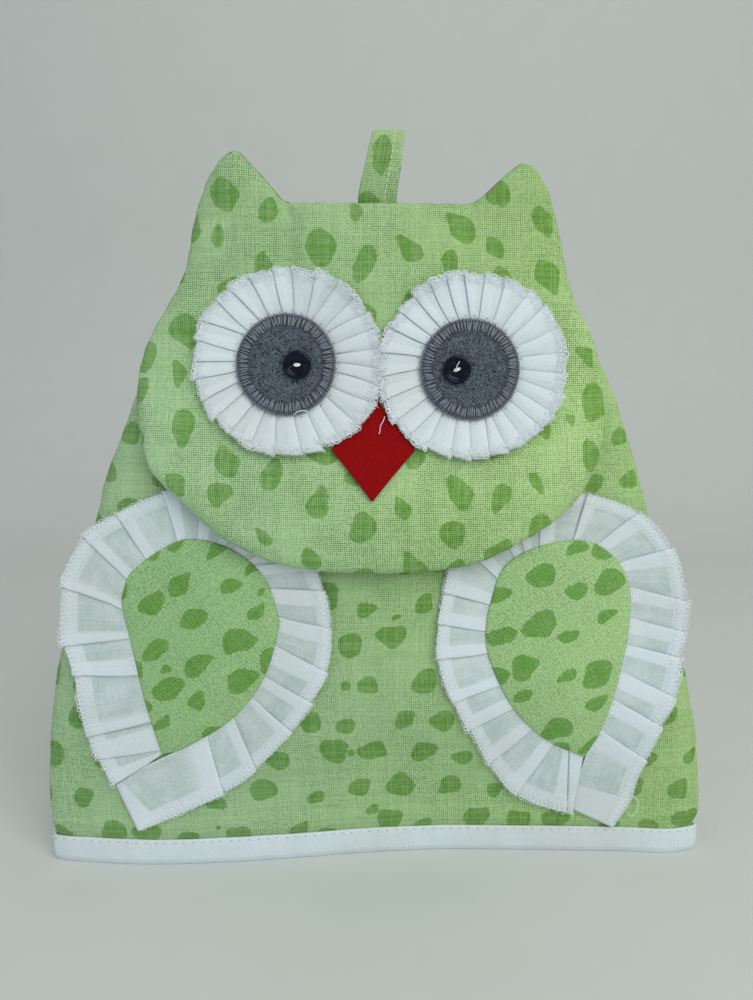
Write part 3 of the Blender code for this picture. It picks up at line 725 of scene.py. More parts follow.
@dataclass(frozen=True)
class PrintedCotton:
    """Plain-weave cotton, dyed light green and printed with darker pebbles.

    The weave is open, so that shade falls into the gaps between threads. The
    real threads are about 0.65 mm apart, and are drawn a little wider to show.
    Towards the left (-X) the cloth is painted darker and cooler, as shade.
    """

    name: str = "green_cotton_print"
    ground: str = "#BFE897"
    # Painted shade: the ground's colour on the left side.
    ground_left_shade: str = "#B5DFA8"
    spot: str = "#7AB33F"
    # Painted shade: the spots' colour on the left side.
    spot_left_shade: str = "#73AE54"
    shade: str = "#2C5324"
    thread: float = 0.88
    sides: float = 0.12
    openness: float = 1.0
    upper: float = 0.58
    grain: float = 0.0
    spacing: float = 19.0
    small: float = 4.9
    large: float = 7.8
    stretch: float = 1.8
    least: float = 1.2
    lean: float = 0.0
    spread: float = 1.4

    def spots(self, w: Weaver, at: Socket, spacing: float, small: float, large: float,
              shift: tuple[float, float, float], loose: float) -> Socket:
        """Scatter one layer of pebbles.

        Args:
            w: the tree's arithmetic.
            at: the cloth's map in millimetres.
            spacing: usual distance between spots in millimetres.
            small: least radius in millimetres; below zero leaves spots out.
            large: greatest radius in millimetres.
            shift: offset that picks another layout.
            loose: how far spots stray from even rows, from 0 to 1.

        Returns:
            1 inside a spot and 0 outside.
        """
        coarse = w.do("VECTOR_SUBTRACT", w.do("COLOUR_NOISE", at, 0.12, 0.0), MIDDLE)
        fine = w.do("VECTOR_SUBTRACT", w.do("COLOUR_NOISE", at, 0.55, 2.0), MIDDLE)
        # The ink stops at a thread's side, so an outline goes in small steps.
        step = 0.7
        threads = w.do("SCALE", w.do("VECTOR_FLOOR", w.do("SCALE", at, 1.0 / step)), step)
        stepped = w.do("VECTOR_ADD", w.do("SCALE", threads, 0.6), w.do("SCALE", at, 0.4))
        wander = w.do("VECTOR_ADD", w.do("SCALE", coarse, 3.4), w.do("SCALE", fine, 0.9))
        bent = w.do("VECTOR_ADD", stepped, wander)
        # Each column of spots stands half a step lower than its neighbour, and the steps are a little long.
        upright = 0.88
        place = add_node(w.tree, "ShaderNodeSeparateXYZ", {0: w.do("VECTOR_ADD", bent, shift)})
        column = w.do("MULTIPLY", place.outputs[0], 1.0 / spacing)
        row = w.do("MULTIPLY_ADD", column, 0.5, w.do("MULTIPLY", place.outputs[1], upright / spacing))
        cell = w.do("JOIN", column, row)
        dots = add_node(w.tree, "ShaderNodeTexVoronoi", {"Vector": cell, "Scale": 1.0, "Randomness": loose},
                        voronoi_dimensions="2D", feature="F1")
        pick = add_node(w.tree, "ShaderNodeSeparateColor", {0: dots.outputs["Color"]}).outputs
        away = w.do("VECTOR_SUBTRACT", cell, dots.outputs["Position"])
        skewed = add_node(w.tree, "ShaderNodeSeparateXYZ", {0: away})
        rise = w.do("MULTIPLY", w.do("MULTIPLY_ADD", skewed.outputs[0], -0.5, skewed.outputs[1]), 1 / upright)
        local = w.do("JOIN", skewed.outputs[0], rise)
        lean = w.do("MULTIPLY_ADD", w.do("SUBTRACT", pick[1], 0.5), self.spread, self.lean)
        turned = add_node(w.tree, "ShaderNodeVectorRotate", {"Vector": local, "Angle": lean},
                          rotation_type="Z_AXIS")
        parts = add_node(w.tree, "ShaderNodeSeparateXYZ", {0: turned.outputs[0]})
        thin = w.do("MULTIPLY", parts.outputs[0],
                    w.do("BETWEEN", pick[2], 0.05, 0.95, self.least, self.stretch))
        long = parts.outputs[1]
        power = w.do("BETWEEN", pick[1], 0.0, 1.0, 1.55, 2.1)
        total = w.do("ADD", w.do("POWER", w.do("ABSOLUTE", thin), power),
                     w.do("POWER", w.do("ABSOLUTE", long), power))
        length = w.do("POWER", total, w.do("DIVIDE", 1.0, power))
        turn = w.do("ARCTAN2", long, thin)
        lobes = w.do("SINE", w.do("MULTIPLY_ADD", turn, 3.0, w.do("MULTIPLY", pick[0], 25.0)))
        egg = w.do("SINE", w.do("ADD", turn, w.do("MULTIPLY", pick[2], 31.0)))
        shape = w.do("ADD", w.do("MULTIPLY_ADD", lobes, 0.08, 1.04), w.do("MULTIPLY", egg, 0.1))
        radius = w.do("BETWEEN", pick[0], 0.0, 1.0, small / spacing, large / spacing)
        inside = w.do("SUBTRACT", w.do("MULTIPLY", radius, shape), length)
        return w.do("BETWEEN", inside, -0.15 / spacing, 0.3 / spacing)

    def build(self) -> Material:
        """Make the material.

        Returns:
            The material.
        """
        w = Weaver(self.name)
        at = w.cloth_mm()
        big = self.spots(w, at, self.spacing, self.small, self.large, (3.0, 17.0, 0.0), 0.4)
        few = self.spots(w, at, self.spacing * 1.8, -9.0, 3.2, (41.3, 9.7, 0.0), 0.8)
        printed = w.do("MAXIMUM", big, few)
        ink = w.do("BETWEEN", w.do("NOISE", at, 0.3, 3.0), 0.2, 0.8, 0.86, 1.0)
        wide = add_node(w.tree, "ShaderNodeSeparateXYZ", {0: w.object_mm()})
        # Broad patches vary the tone at random, and towards the left (-X) the ground and the spots are
        # painted in their shade colours.
        left_shade_and_tone = w.do("MULTIPLY_ADD", w.do("NOISE", at, 0.012, 1.0), 0.6,
                     w.do("BETWEEN", wide.outputs[0], 130.0, -130.0, -0.3, 0.7), use_clamp=True)
        ground = w.do("MIX", left_shade_and_tone, linear(self.ground), linear(self.ground_left_shade))
        spot_dye_and_shade = w.do("MIX", left_shade_and_tone, linear(self.spot), linear(self.spot_left_shade))
        colour = w.do("MIX", w.do("MULTIPLY", printed, ink), ground, spot_dye_and_shade)
        high, gap, tone = w.weave(at, self.thread, self.sides)
        bright = w.do("BETWEEN", tone, 0.1, 0.9, 0.0, 0.2 * self.openness)
        colour = w.do("MIX", bright, colour, linear("#F1FFD9"))
        split = add_node(w.tree, "ShaderNodeSeparateXYZ", {0: at})
        slub = []
        for fine, coarse in ((1.5, 0.05), (0.05, 1.5)):
            drawn = w.do("JOIN", w.do("MULTIPLY", split.outputs[0], fine),
                         w.do("MULTIPLY", split.outputs[1], coarse))
            slub.append(w.do("NOISE", drawn, 1.0, 1.0))
        slubs = w.do("ADD", slub[0], slub[1])
        patchy = w.do("BETWEEN", w.do("NOISE", at, 0.03, 2.0), 0.3, 0.7,
                      0.45 * self.openness, 1.05 * self.openness)
        # Over the head's top the cloth is stretched, so the gaps close and the threads lie closer, and the
        # top is also painted a little darker, as shade.
        top_tight_and_shade = w.do("BETWEEN", wide.outputs[2], 205.0, 300.0)
        patchy = w.do("MULTIPLY", patchy, w.do("MULTIPLY_ADD", top_tight_and_shade, self.upper - 1.0, 1.0))
        speck = w.do("NOISE", at, 1.15, 1.0)
        threads = w.do("ADD", w.do("BETWEEN", slubs, 0.75, 1.25, 0.1, 0.0),
                       w.do("BETWEEN", speck, 0.36, 0.6, self.grain, 0.0))
        # Painted shade: an even darkening over the head's top.
        threads = w.do("MULTIPLY_ADD", top_tight_and_shade, 0.42 * (1.0 - self.upper), threads)
        dark = w.do("MULTIPLY_ADD", gap, patchy, threads, use_clamp=True)
        colour = w.do("MIX", dark, colour, w.do("MIX", printed, linear(self.shade), linear("#2F5A22")))
        relief = w.do("ADD", w.do("MULTIPLY_ADD", slubs, 0.5, high),
                      w.do("MULTIPLY", speck, self.grain * 2.0))
        return w.finish(colour, 0.92, relief, 0.00018, 0.8, Sheen_Weight=0.1, Sheen_Roughness=0.5,
                        Specular_IOR_Level=0.2)


@dataclass(frozen=True)
class WhiteCotton:
    """Bleached cotton in a fine plain weave, folded in pleats.

    One layer is a little sheer and lets the green behind it through, and the
    layers under a pleat are opaque white. The map's own "sheer" value says
    which: 0 is opaque and 1 is a single layer. The gaps between the threads are
    painted in shade. Where its value for frayed threads is above 0 the threads
    have come apart, and the painted shade in their gaps is deeper.
    """

    opaque: str = "#E5F1F9"
    single: str = "#C3D7D9"
    warm: str = "#F1EFE5"
    thread: float = 0.6

    def build(self) -> Material:
        """Make the material.

        Returns:
            The material.
        """
        w = Weaver("white_cotton_pleated")
        at = w.cloth_mm()
        sheer = w.do("MARK", attribute_name="sheer")
        mottle = w.do("BETWEEN", w.do("NOISE", at, 0.1, 3.0), 0.3, 0.7, 0.45, 1.15)
        thin = w.do("MULTIPLY", sheer, mottle, use_clamp=True)
        colour = w.do("MIX", thin, linear(self.opaque), linear(self.single))
        # Large patches, placed at random, are tinted warmer.
        warm_patches = w.do("BETWEEN", w.do("NOISE", w.object_mm(), 0.016, 1.0), 0.4, 0.68, 0.0, 0.55)
        colour = w.do("TINT", warm_patches, colour, linear(self.warm))
        high, gap, tone = w.weave(at, self.thread)
        fray_and_gap_shade = w.do("MARK", attribute_name="fray_and_gap_shade")
        fray_and_gap_shade = w.do("MULTIPLY", fray_and_gap_shade, w.do("BETWEEN", w.do("NOISE", at, 0.35, 2.0), 0.35, 0.6, 0.2, 1.0))
        # Painted shade in the gaps between threads: deeper where the cloth is single, and deeper still where
        # it has frayed.
        veil = w.do("MULTIPLY_ADD", fray_and_gap_shade, 0.75, w.do("MULTIPLY_ADD", sheer, 0.35, 0.25), use_clamp=True)
        colour = w.do("MIX", w.do("MULTIPLY", gap, veil), colour, linear("#8C9C94"))
        colour = w.do("MIX", w.do("MULTIPLY", tone, w.do("MULTIPLY", sheer, 0.22)), colour, linear("#FFFFFF"))
        crease = w.do("NOISE", at, 0.55, 4.0)
        relief = w.do("MULTIPLY_ADD", crease, 3.0, high)
        return w.finish(colour, 0.88, relief, 0.00007, 0.7, Sheen_Weight=0.08, Sheen_Roughness=0.5,
                        Specular_IOR_Level=0.3)


@dataclass(frozen=True)
class WoolFelt:
    """Pressed wool felt: fibres in every direction, matt, no threads.

    A melange felt mixes dark and light fibres, a dyed one is even. Between
    the stitches that press it down, which its "pressed" value marks, the felt
    is in shade.
    """

    name: str
    dark: str
    light: str
    deep: str
    contrast: float
    fuzz: float = 0.00022

    def build(self) -> Material:
        """Make the material.

        Returns:
            The material.
        """
        w = Weaver(self.name)
        at = w.object_mm()
        fibres = w.do("NOISE", at, 1.9, 3.0)
        specks = w.do("NOISE", at, 0.5, 2.0)
        coarse = w.do("SUBTRACT", w.do("MULTIPLY_ADD", specks, 0.24, fibres), 0.62)
        share = w.do("MULTIPLY_ADD", coarse, self.contrast, 0.5, use_clamp=True)
        colour = w.do("MIX", share, linear(self.dark), linear(self.light))
        pressed = w.do("MARK", attribute_name="pressed")
        colour = w.do("MIX", w.do("MULTIPLY", pressed, 0.75), colour, linear(self.deep))
        relief = w.do("MULTIPLY_ADD", specks, 0.8, fibres)
        return w.finish(colour, 0.96, relief, self.fuzz, 0.8, Sheen_Weight=0.04, Sheen_Roughness=0.6,
                        Specular_IOR_Level=0.1)


@dataclass(frozen=True)
class SewingThread:
    """Spun polyester sewing thread, with a soft shine along its twist."""

    name: str
    code: str
    dark: str

    def build(self) -> Material:
        """Make the material.

        Returns:
            The material.
        """
        w = Weaver(self.name)
        twist = w.do("NOISE", w.object_mm(), 3.2, 1.0)
        colour = w.do("MIX", w.do("BETWEEN", twist, 0.3, 0.7), linear(self.dark), linear(self.code))
        return w.finish(colour, 0.62, twist, 0.00005, 0.5, Sheen_Weight=0.1, Specular_IOR_Level=0.4)


@dataclass(frozen=True)
class ButtonResin:
    """Cast polyester resin, turned and tumbled to a gloss."""

    code: str = "#060A13"

    def build(self) -> Material:
        """Make the material.

        Returns:
            The material.
        """
        w = Weaver("black_resin")
        scuffs = w.do("BETWEEN", w.do("NOISE", w.object_mm(), 0.9, 4.0), 0.35, 0.75, 0.09, 0.2)
        # Painted reflection colour: every reflection on the button is tinted blue.
        return w.finish(linear(self.code), scuffs, IOR=1.5, Specular_Tint=linear("#A9BCE6"))


@dataclass(frozen=True)
class StudioPaint:
    """Matt paint on the floor and the curved backdrop."""

    name: str
    code: str

    def build(self) -> Material:
        """Make the material.

        Returns:
            The material.
        """
        w = Weaver(self.name)
        grain = w.do("NOISE", w.object_mm(), 0.02, 2.0)
        colour = w.do("MIX", w.do("BETWEEN", grain, 0.3, 0.7, 0.0, 0.03),
                      linear(self.code), linear("#FFFFFF"))
        return w.finish(colour, 0.7, Specular_IOR_Level=0.3)


@dataclass
class Finishes:
    """Every material of the cosy, made once."""

    print_cloth: Material
    worn_print: Material
    backed_print: Material
    white_cloth: Material
    grey_felt: Material
    red_felt: Material
    white_thread: Material
    grey_thread: Material
    pale_thread: Material
    pinhole: Material
    resin: Material

    @classmethod
    def make(cls) -> "Finishes":
        """Build all the materials, in the order of the fields.

        Returns:
            The built materials.
        """
        looks = (
            PrintedCotton(),
            PrintedCotton("green_cotton_worn", "#ADD58B", "#AAD1A0", "#6BA337", "#6AA04B", thread=0.94,
                          sides=0.05, openness=0.72, upper=1.0, spacing=18.5, small=4.3, large=6.7,
                          stretch=1.45, least=1.02, lean=-0.5, spread=0.8),
            PrintedCotton("green_cotton_backed", "#B8E29C", "#A9D696", "#72AD4B", "#70A946", thread=0.98,
                          sides=0.05, grain=0.26, openness=0.4, upper=1.0, spacing=16.5, small=4.8,
                          large=7.8, stretch=1.95, least=1.3, spread=0.55),
            WhiteCotton(),
            WoolFelt("grey_melange_felt", "#1E252D", "#6B7683", "#3C434A", 3.8),
            WoolFelt("red_felt", "#7F0407", "#A0090D", "#7F0407", 2.4, 0.00014),
            SewingThread("white_thread", "#F4FAFF", "#E6EFF6"),
            SewingThread("grey_thread", "#86919C", "#5C666F"),
            SewingThread("pale_green_thread", "#EEF6DC", "#D5E6BC"),
            SewingThread("needle_hole_shade", "#8A938E", "#737B76"),
            ButtonResin())
        return cls(*(look.build() for look in looks))


# ---------------------------------------------------------------------- stitches
class Notion(Enum):
    """What one repeat of a stitch is drawn as."""

    THREAD = "thread"
    LOOP = "loop"


class StitchRun:
    """Repeats of a stitch, set out as points and drawn by Geometry Nodes."""

    def __init__(self, notion: Notion) -> None:
        """Build the tree for one kind of stitch.

        Args:
            notion: what one repeat is drawn as.
        """
        tree = bpy.data.node_groups.new(f"stitch_{notion.value}", "GeometryNodeTree")
        face = tree.interface
        for label, kind in (("Geometry", "Geometry"), ("Round sides", "Int"), ("Loop thread", "Float"),
                            ("Finish", "Material")):
            face.new_socket(label, in_out="INPUT", socket_type="NodeSocket" + kind)
        face.new_socket("Geometry", in_out="OUTPUT", socket_type="NodeSocketGeometry")
        start = add_node(tree, "NodeGroupInput").outputs
        if notion is Notion.THREAD:
            shape = add_node(tree, "GeometryNodeMeshUVSphere",
                             {"Segments": start["Round sides"], "Rings": 5, "Radius": 1.0})
        else:
            ring = add_node(tree, "GeometryNodeCurvePrimitiveCircle", {"Resolution": 9, "Radius": 1.0})
            wire = add_node(tree, "GeometryNodeCurvePrimitiveCircle",
                            {"Resolution": start["Round sides"], "Radius": start["Loop thread"]})
            shape = add_node(tree, "GeometryNodeCurveToMesh",
                             {"Curve": ring.outputs[0], "Profile Curve": wire.outputs[0]})
        named = {}
        for key in ("along", "up", "reach"):
            named[key] = add_node(tree, "GeometryNodeInputNamedAttribute", {"Name": key},
                                  data_type="FLOAT_VECTOR").outputs["Attribute"]
        turn = add_node(tree, "FunctionNodeAxesToRotation",
                        {"Primary Axis": named["along"], "Secondary Axis": named["up"]},
                        primary_axis="X", secondary_axis="Z")
        placed = add_node(tree, "GeometryNodeInstanceOnPoints",
                          {"Points": start["Geometry"], "Instance": shape.outputs[0],
                           "Rotation": turn.outputs[0], "Scale": named["reach"]})
        solid = add_node(tree, "GeometryNodeRealizeInstances", {"Geometry": placed.outputs[0]})
        smooth = add_node(tree, "GeometryNodeSetShadeSmooth", {"Geometry": solid.outputs[0]})
        painted = add_node(tree, "GeometryNodeSetMaterial",
                           {"Geometry": smooth.outputs[0], "Material": start["Finish"]})
        add_node(tree, "NodeGroupOutput", {0: painted.outputs[0]})
        self.tree = tree

    def sew(self, name: str, points: Array, along: Array, up: Array, reach: Array,
            finish: Material, sides: int = 6, loop_thread: float = 0.3) -> Thing:
        """Draw a repeat at every point.

        Args:
            name: the piece's name.
            points: N by 3, in the maker's millimetres.
            along: N by 3, the way each repeat runs.
            up: N by 3, away from the cloth.
            reach: N by 3, half sizes in millimetres along, across and up.
            finish: the material.
            sides: facets round the thread.
            loop_thread: thread radius of a loop, as a share of the loop's.

        Returns:
            One plain mesh object.
        """
        mesh = bpy.data.meshes.new(name + "_set_out")
        mesh.from_pydata([tuple(p) for p in row_frame(points)], [], [])
        for key, rows, scale in (("along", along, 1.0), ("up", up, 1.0), ("reach", reach, 1.0 / MM)):
            attribute = mesh.attributes.new(key, "FLOAT_VECTOR", "POINT")
            attribute.data.foreach_set("vector", (np.asarray(rows, np.float32) * scale).ravel())
        guide = add_object(name + "_set_out", mesh)
        modifier = guide.modifiers.new("stitches", "NODES")
        modifier.node_group = self.tree
        sockets = self.tree.interface.items_tree
        ids = {item.name: item.identifier for item in sockets if item.in_out == "INPUT"}
        modifier[ids["Round sides"]] = sides
        modifier[ids["Loop thread"]] = loop_thread
        modifier[ids["Finish"]] = finish
        bpy.context.view_layer.update()
        done = bpy.data.meshes.new_from_object(guide.evaluated_get(bpy.context.evaluated_depsgraph_get()))
        bpy.data.objects.remove(guide)
        done.name = name
        for key in ("along", "up", "reach"):
            if key in done.attributes:
                done.attributes.remove(done.attributes[key])
        done.materials.clear()
        done.materials.append(finish)
        return add_object(name, done)


@dataclass
class Repeats:
    """Rows of stitches gathered before they are drawn."""

    notion: Notion = Notion.THREAD
    points: list[Array] = field(default_factory=list)
    along: list[Array] = field(default_factory=list)
    up: list[Array] = field(default_factory=list)
    reach: list[Array] = field(default_factory=list)

    def add(self, points: Array, along: Array, up: Array, reach: Array) -> None:
        """Take more repeats; a single reach serves them all."""
        self.points.append(points)
        self.along.append(along)
        self.up.append(np.broadcast_to(up, points.shape))
        self.reach.append(np.broadcast_to(reach, points.shape))

    def sew(self, runs: dict[Notion, StitchRun], name: str, finish: Material, slot: str,
            **rest: float) -> None:
        """Draw them all as one piece and give it to the frame."""
        rows = (np.vstack(part) for part in (self.points, self.along, self.up, self.reach))
        hand_over(runs[self.notion].sew(name, *rows, finish, **rest))


def thread_tail(name: str, path: Sequence[Sequence[float]], radius: float, finish: Material,
                slot: str) -> None:
    """Draw a loose end of sewing thread as a smooth tube and give it to the frame.

    Args:
        name: the piece's name.
        path: points in the maker's millimetres.
        radius: half the thread's thickness in millimetres.
        finish: the material.
        slot: not used.
    """
    p = np.asarray(path, float)
    fine = []
    for i in range(len(p) - 1):
        a, b, c, d = p[max(i - 1, 0)], p[i], p[i + 1], p[min(i + 2, len(p) - 1)]
        for t in np.linspace(0, 1, 7, endpoint=False):
            fine.append(0.5 * (2 * b + (c - a) * t + (2 * a - 5 * b + 4 * c - d) * t**2
                               + (3 * b - a - 3 * c + d) * t**3))
    line = np.vstack(fine + [p[-1]])
    way = unit(np.gradient(line, axis=0))
    side = unit(np.cross(way, np.array([0.13, 1.0, 0.21])))
    lift = np.cross(way, side)
    turns = np.linspace(0, TURN, 6, endpoint=False)
    grid = np.stack([line + radius * (math.cos(t) * side + math.sin(t) * lift) for t in turns], axis=1)
    rows, cols = grid.shape[:2]
    faces = tube_faces(rows, cols)
    faces += [tuple(range(cols))[::-1], tuple((rows - 1) * cols + c for c in range(cols))]
    hand_over(ClothMesh(grid.reshape(-1, 3), faces).to_object(name, finish))


# ------------------------------------------------------------------------ pieces
ROOT = "root"


def hand_over(piece: Thing, replaced: str | None = None) -> None:
    """Give a finished piece to the frame.

    Args:
        piece: the object.
        replaced: the part's node that it replaces, if any.
    """
    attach(piece, ROOT)
    if replaced:
        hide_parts(replaced)
    LOG.info("%s: %d faces", piece.name, len(piece.data.polygons))


@dataclass
class Maker:
    """What every sub-assembly is made with."""

    shapes: Shapes
    finishes: Finishes
    stitches: dict[Notion, StitchRun]

    def edge(self, name: str, edge: Array, centre: Point2, rng: np.random.Generator, pitch: float,
             size: float, frayed: bool) -> None:
        """Run tiny thread loops, and fibres if frayed, along a strip's outer edge.

        Args:
            name: the piece's name.
            edge: the strip's outer line of points.
            centre: x and z of a point that the edge faces away from.
            rng: the source of unevenness.
            pitch: distance between loops in millimetres.
            size: radius of a loop in millimetres.
            frayed: whether loose fibres stand out between the loops.
        """
        run = run_of(edge)
        count = int(run[-1] / pitch)
        at = (np.arange(count) + rng.uniform(-0.3, 0.3, count)) * run[-1] / count
        middle = np.array([centre[0], 0.0, centre[1]])

        def outwards(points: Array) -> Array:
            """Give the way out from the strip's middle."""
            return unit((points - middle) * np.array([1.0, 0.0, 1.0]))

        points = read_line(at, run, edge)
        along = unit(read_line((at + 0.4) % run[-1], run, edge) - points)
        # The loops grow and shrink along the edge, as the sewing pulled at them.
        swell = np.array([noise.noise(Vector((a / 17.0, 3.3, float(count)))) for a in at])[:, None]
        grow = size * (np.clip(1 + 1.1 * swell, 0.65, 1.7) * rng.uniform(0.75, 1.25, (count, 1)))
        loops, hairs = Repeats(Notion.LOOP), Repeats()
        loops.add(points + outwards(points) * grow * rng.uniform(0.0, 0.6, (count, 1)), along,
                  FACING + rng.uniform(-0.35, 0.35, (count, 3)), np.hstack([grow, grow * 0.9, grow]))
        white = self.finishes.white_thread
        loops.sew(self.stitches, name, white, "white_cotton", sides=4, loop_thread=0.2)
        if frayed:
            many = count * 5
            points = read_line(rng.uniform(0, run[-1], many), run, edge)
            out = unit(outwards(points) + rng.normal(0, 0.7, (many, 3)) * np.array([1.0, 0.4, 1.0]))
            long = 0.3 + 1.1 * rng.uniform(0.0, 1.0, (many, 1)) ** 2
            inwards = 0.25 - 3.6 * rng.uniform(0.0, 1.0, (many, 1)) ** 1.2
            thin = np.full((many, 1), 0.09)
            hairs.add(points + out * long * 0.5 + outwards(points) * inwards + FACING * 0.32, out, FACING,
                      np.hstack([long, thin, thin]))
            hairs.sew(self.stitches, name + "_fibres", white, "white_cotton", sides=4)


@dataclass
class BodyPanels(Maker):
    """The two padded bell-shaped panels."""

    columns: int = 190
    step: float = 2.1

    def heights(self) -> Array:
        """Give the heights of the rows, closer at the top seam."""
        low = np.array([1.6, 7.0, 12.6, 13.6, 14.8, 16.2])
        body = np.arange(18.0, 280.0, self.step)
        top = np.array([281.5, 283.2, 284.8, 286.2, 287.4, 288.3, 288.8, 289.0])
        return np.concatenate([low, body, top])

    def build(self, name: str, side: int) -> Thing:
        """Make one panel.

        Args:
            name: the node it replaces.
            side: -1 for the front and 1 for the back.

        Returns:
            The padded piece.
        """
        draft = self.shapes.body
        z = self.heights()[:, None]
        middle, half, deep, pad = draft.size(z)
        ux, uy = (row[None, :] for row in draft.oval(np.linspace(0, 0.5, self.columns + 1)))
        # The top closes in a rolled edge, and the side seams draw in a little.
        roll = np.sqrt(np.clip(1 - np.clip((z - 285.5) / 4.3, 0, 1) ** 2, 0, 1))
        bulge = 0.9 * ease(12.7, 16.5, z) * ease(30.0, 17.0, z)
        x = middle + (half + bulge * 0.5) * ux
        seam = 1 - uy * roll
        plane, deep = draft.seam_y(ux, z), draft.front_deep(ux, z) if side < 0 else deep
        y = np.maximum((deep + bulge) * uy * roll + draft.loop_room(x, z), 0.15)
        x_in = middle + (half - pad) * ux
        y_in = np.maximum((deep - pad) * uy, 0.15) + draft.loop_room(x_in, z) * (uy > 0)
        outer = np.stack([x, plane + side * y, np.broadcast_to(z, x.shape)], -1)
        inner = np.stack([x_in, plane + side * y_in, np.broadcast_to(z, x.shape)], -1)
        rise = np.gradient(outer, axis=1)
        way = unit(np.cross(rise, np.gradient(outer, axis=0))) * -side
        flat = outer.reshape(-1, 3)
        free = (ease(13.0, 22.0, z) * ease(289.0, 280.0, z) * np.ones_like(x)).ravel()
        soft = lumps(flat, 34.0, 1.0 + side) * 0.9 + lumps(flat, 13.0, 4.0 + side) * 0.28
        edge = ease(0.35, 0.95, seam).ravel()
        flat_x, flat_y, flat_z = flat.T
        pucker = lumps(np.column_stack([flat_x * 0.25, flat_z * 1.6, flat_y]), 9.0, 7.0) * 0.7 * edge
        tug = lumps(np.column_stack([flat_x * 1.3, flat_z * 0.2, flat_y]), 12.0, 9.0)
        tug = tug * 0.55 * ease(42.0, 14.0, flat_z)
        move = ((soft + pucker + tug) * free).reshape(x.shape)
        sewn = outer[:, [0, -1], :]
        outer = outer - way * move[..., None]
        outer[..., 1] = plane + side * np.maximum(side * (outer[..., 1] - plane), 0.15)
        outer[:, [0, -1], :] = sewn
        points, faces = shell(outer, inner)
        run = np.cumsum(np.linalg.norm(rise, axis=2), axis=1)
        run = run - run[:, [self.columns // 2]] + 7.0 * side
        # This cloth is cut crosswise, so its spots lie down.
        uv = np.stack([np.broadcast_to(z, x.shape) + 61.0, -run], -1).reshape(-1, 2)
        mesh = ClothMesh(points, faces, np.vstack([uv, uv]))
        piece = mesh.to_object(name + "_quilted", self.finishes.worn_print)
        hand_over(piece, name)
        return piece


@dataclass
class Head(Maker):
    """The owl's padded head with its two ears."""

    columns: int = 420
    creases: tuple[tuple[float, float, float, float, float, float], ...] = (
        # x, z of both ends, how deep and how wide, in millimetres
        (-37.6, 295.0, -36.0, 284.5, 2.6, 1.7),
        (-62.0, 279.0, -40.0, 291.0, 1.5, 2.0),
        (-66.0, 262.0, -50.0, 276.0, 0.9, 2.6),
        (41.0, 295.0, 36.5, 286.0, 1.9, 1.8),
        (68.0, 284.0, 54.0, 276.0, 0.9, 2.2),
        (-96.0, 226.0, -78.0, 214.0, 0.5, 4.0),
        (88.0, 196.0, 72.0, 184.0, 0.5, 5.0),
        (-30.0, 141.5, -26.0, 152.0, 0.5, 3.0),
        (22.0, 141.5, 18.0, 151.0, 0.45, 3.0),
    )

    def build(self) -> Thing:
        """Make the head.

        Returns:
            The padded piece.
        """
        shapes = self.shapes
        centre = np.array(shapes.head.centre)
        rail = shapes.head_rail
        line = rail.at(np.linspace(0, rail.length, self.columns, endpoint=False))
        shares = np.concatenate([np.linspace(0.02, 0.8, 34, endpoint=False),
                                 np.linspace(0.8, 0.965, 16, endpoint=False),
                                 1 - 0.035 * (1 - np.linspace(0, 1, 9)) ** 1.6])
        rings = rings_round(centre, line, shares)
        x, z = rings[..., 0], rings[..., 1]
        back = shapes.head_back(x, z)
        front = shapes.head_front(x, z)
        # The sewn edge is rolled: its two faces meet in a round rim.
        depth = nearest(x, z, shapes.head_line)
        rim = rounded(depth, 1.5)
        middle = back - shapes.head.edge * 0.5
        back = middle + (back - middle) * rim
        front = middle + (front - middle) * rim
        soft = face_lumps(x, z, 30.0, 2.5) * 0.75 + face_lumps(x, z, 11.0, 6.5) * 0.22
        # The row of stitches near the edge pulls the cloth into small dents.
        pull = face_lumps(x, z, 7.0, 12.0) * 0.35 * np.exp(-((depth - 5.0) / 4.0) ** 2)
        front = front - (soft + pull) * ease(0.5, 6.0, depth)
        for x0, z0, x1, z1, deep, wide in self.creases:
            way = np.array([x1 - x0, z1 - z0])
            length = np.linalg.norm(way)
            way = way / length
            along = np.clip((x - x0) * way[0] + (z - z0) * way[1], 0, length)
            far = np.hypot(x - x0 - along * way[0], z - z0 - along * way[1])
            front = front + deep * np.exp(-(far / wide) ** 2) * ease(length, length * 0.3, along)
        points, faces = disc(rings, front, back)
        uv = points[:, [0, 2]] + np.array([140.0, 31.0])
        piece = ClothMesh(points, faces, uv).to_object("head_quilted", self.finishes.print_cloth)
        hand_over(piece, "head")
        return piece


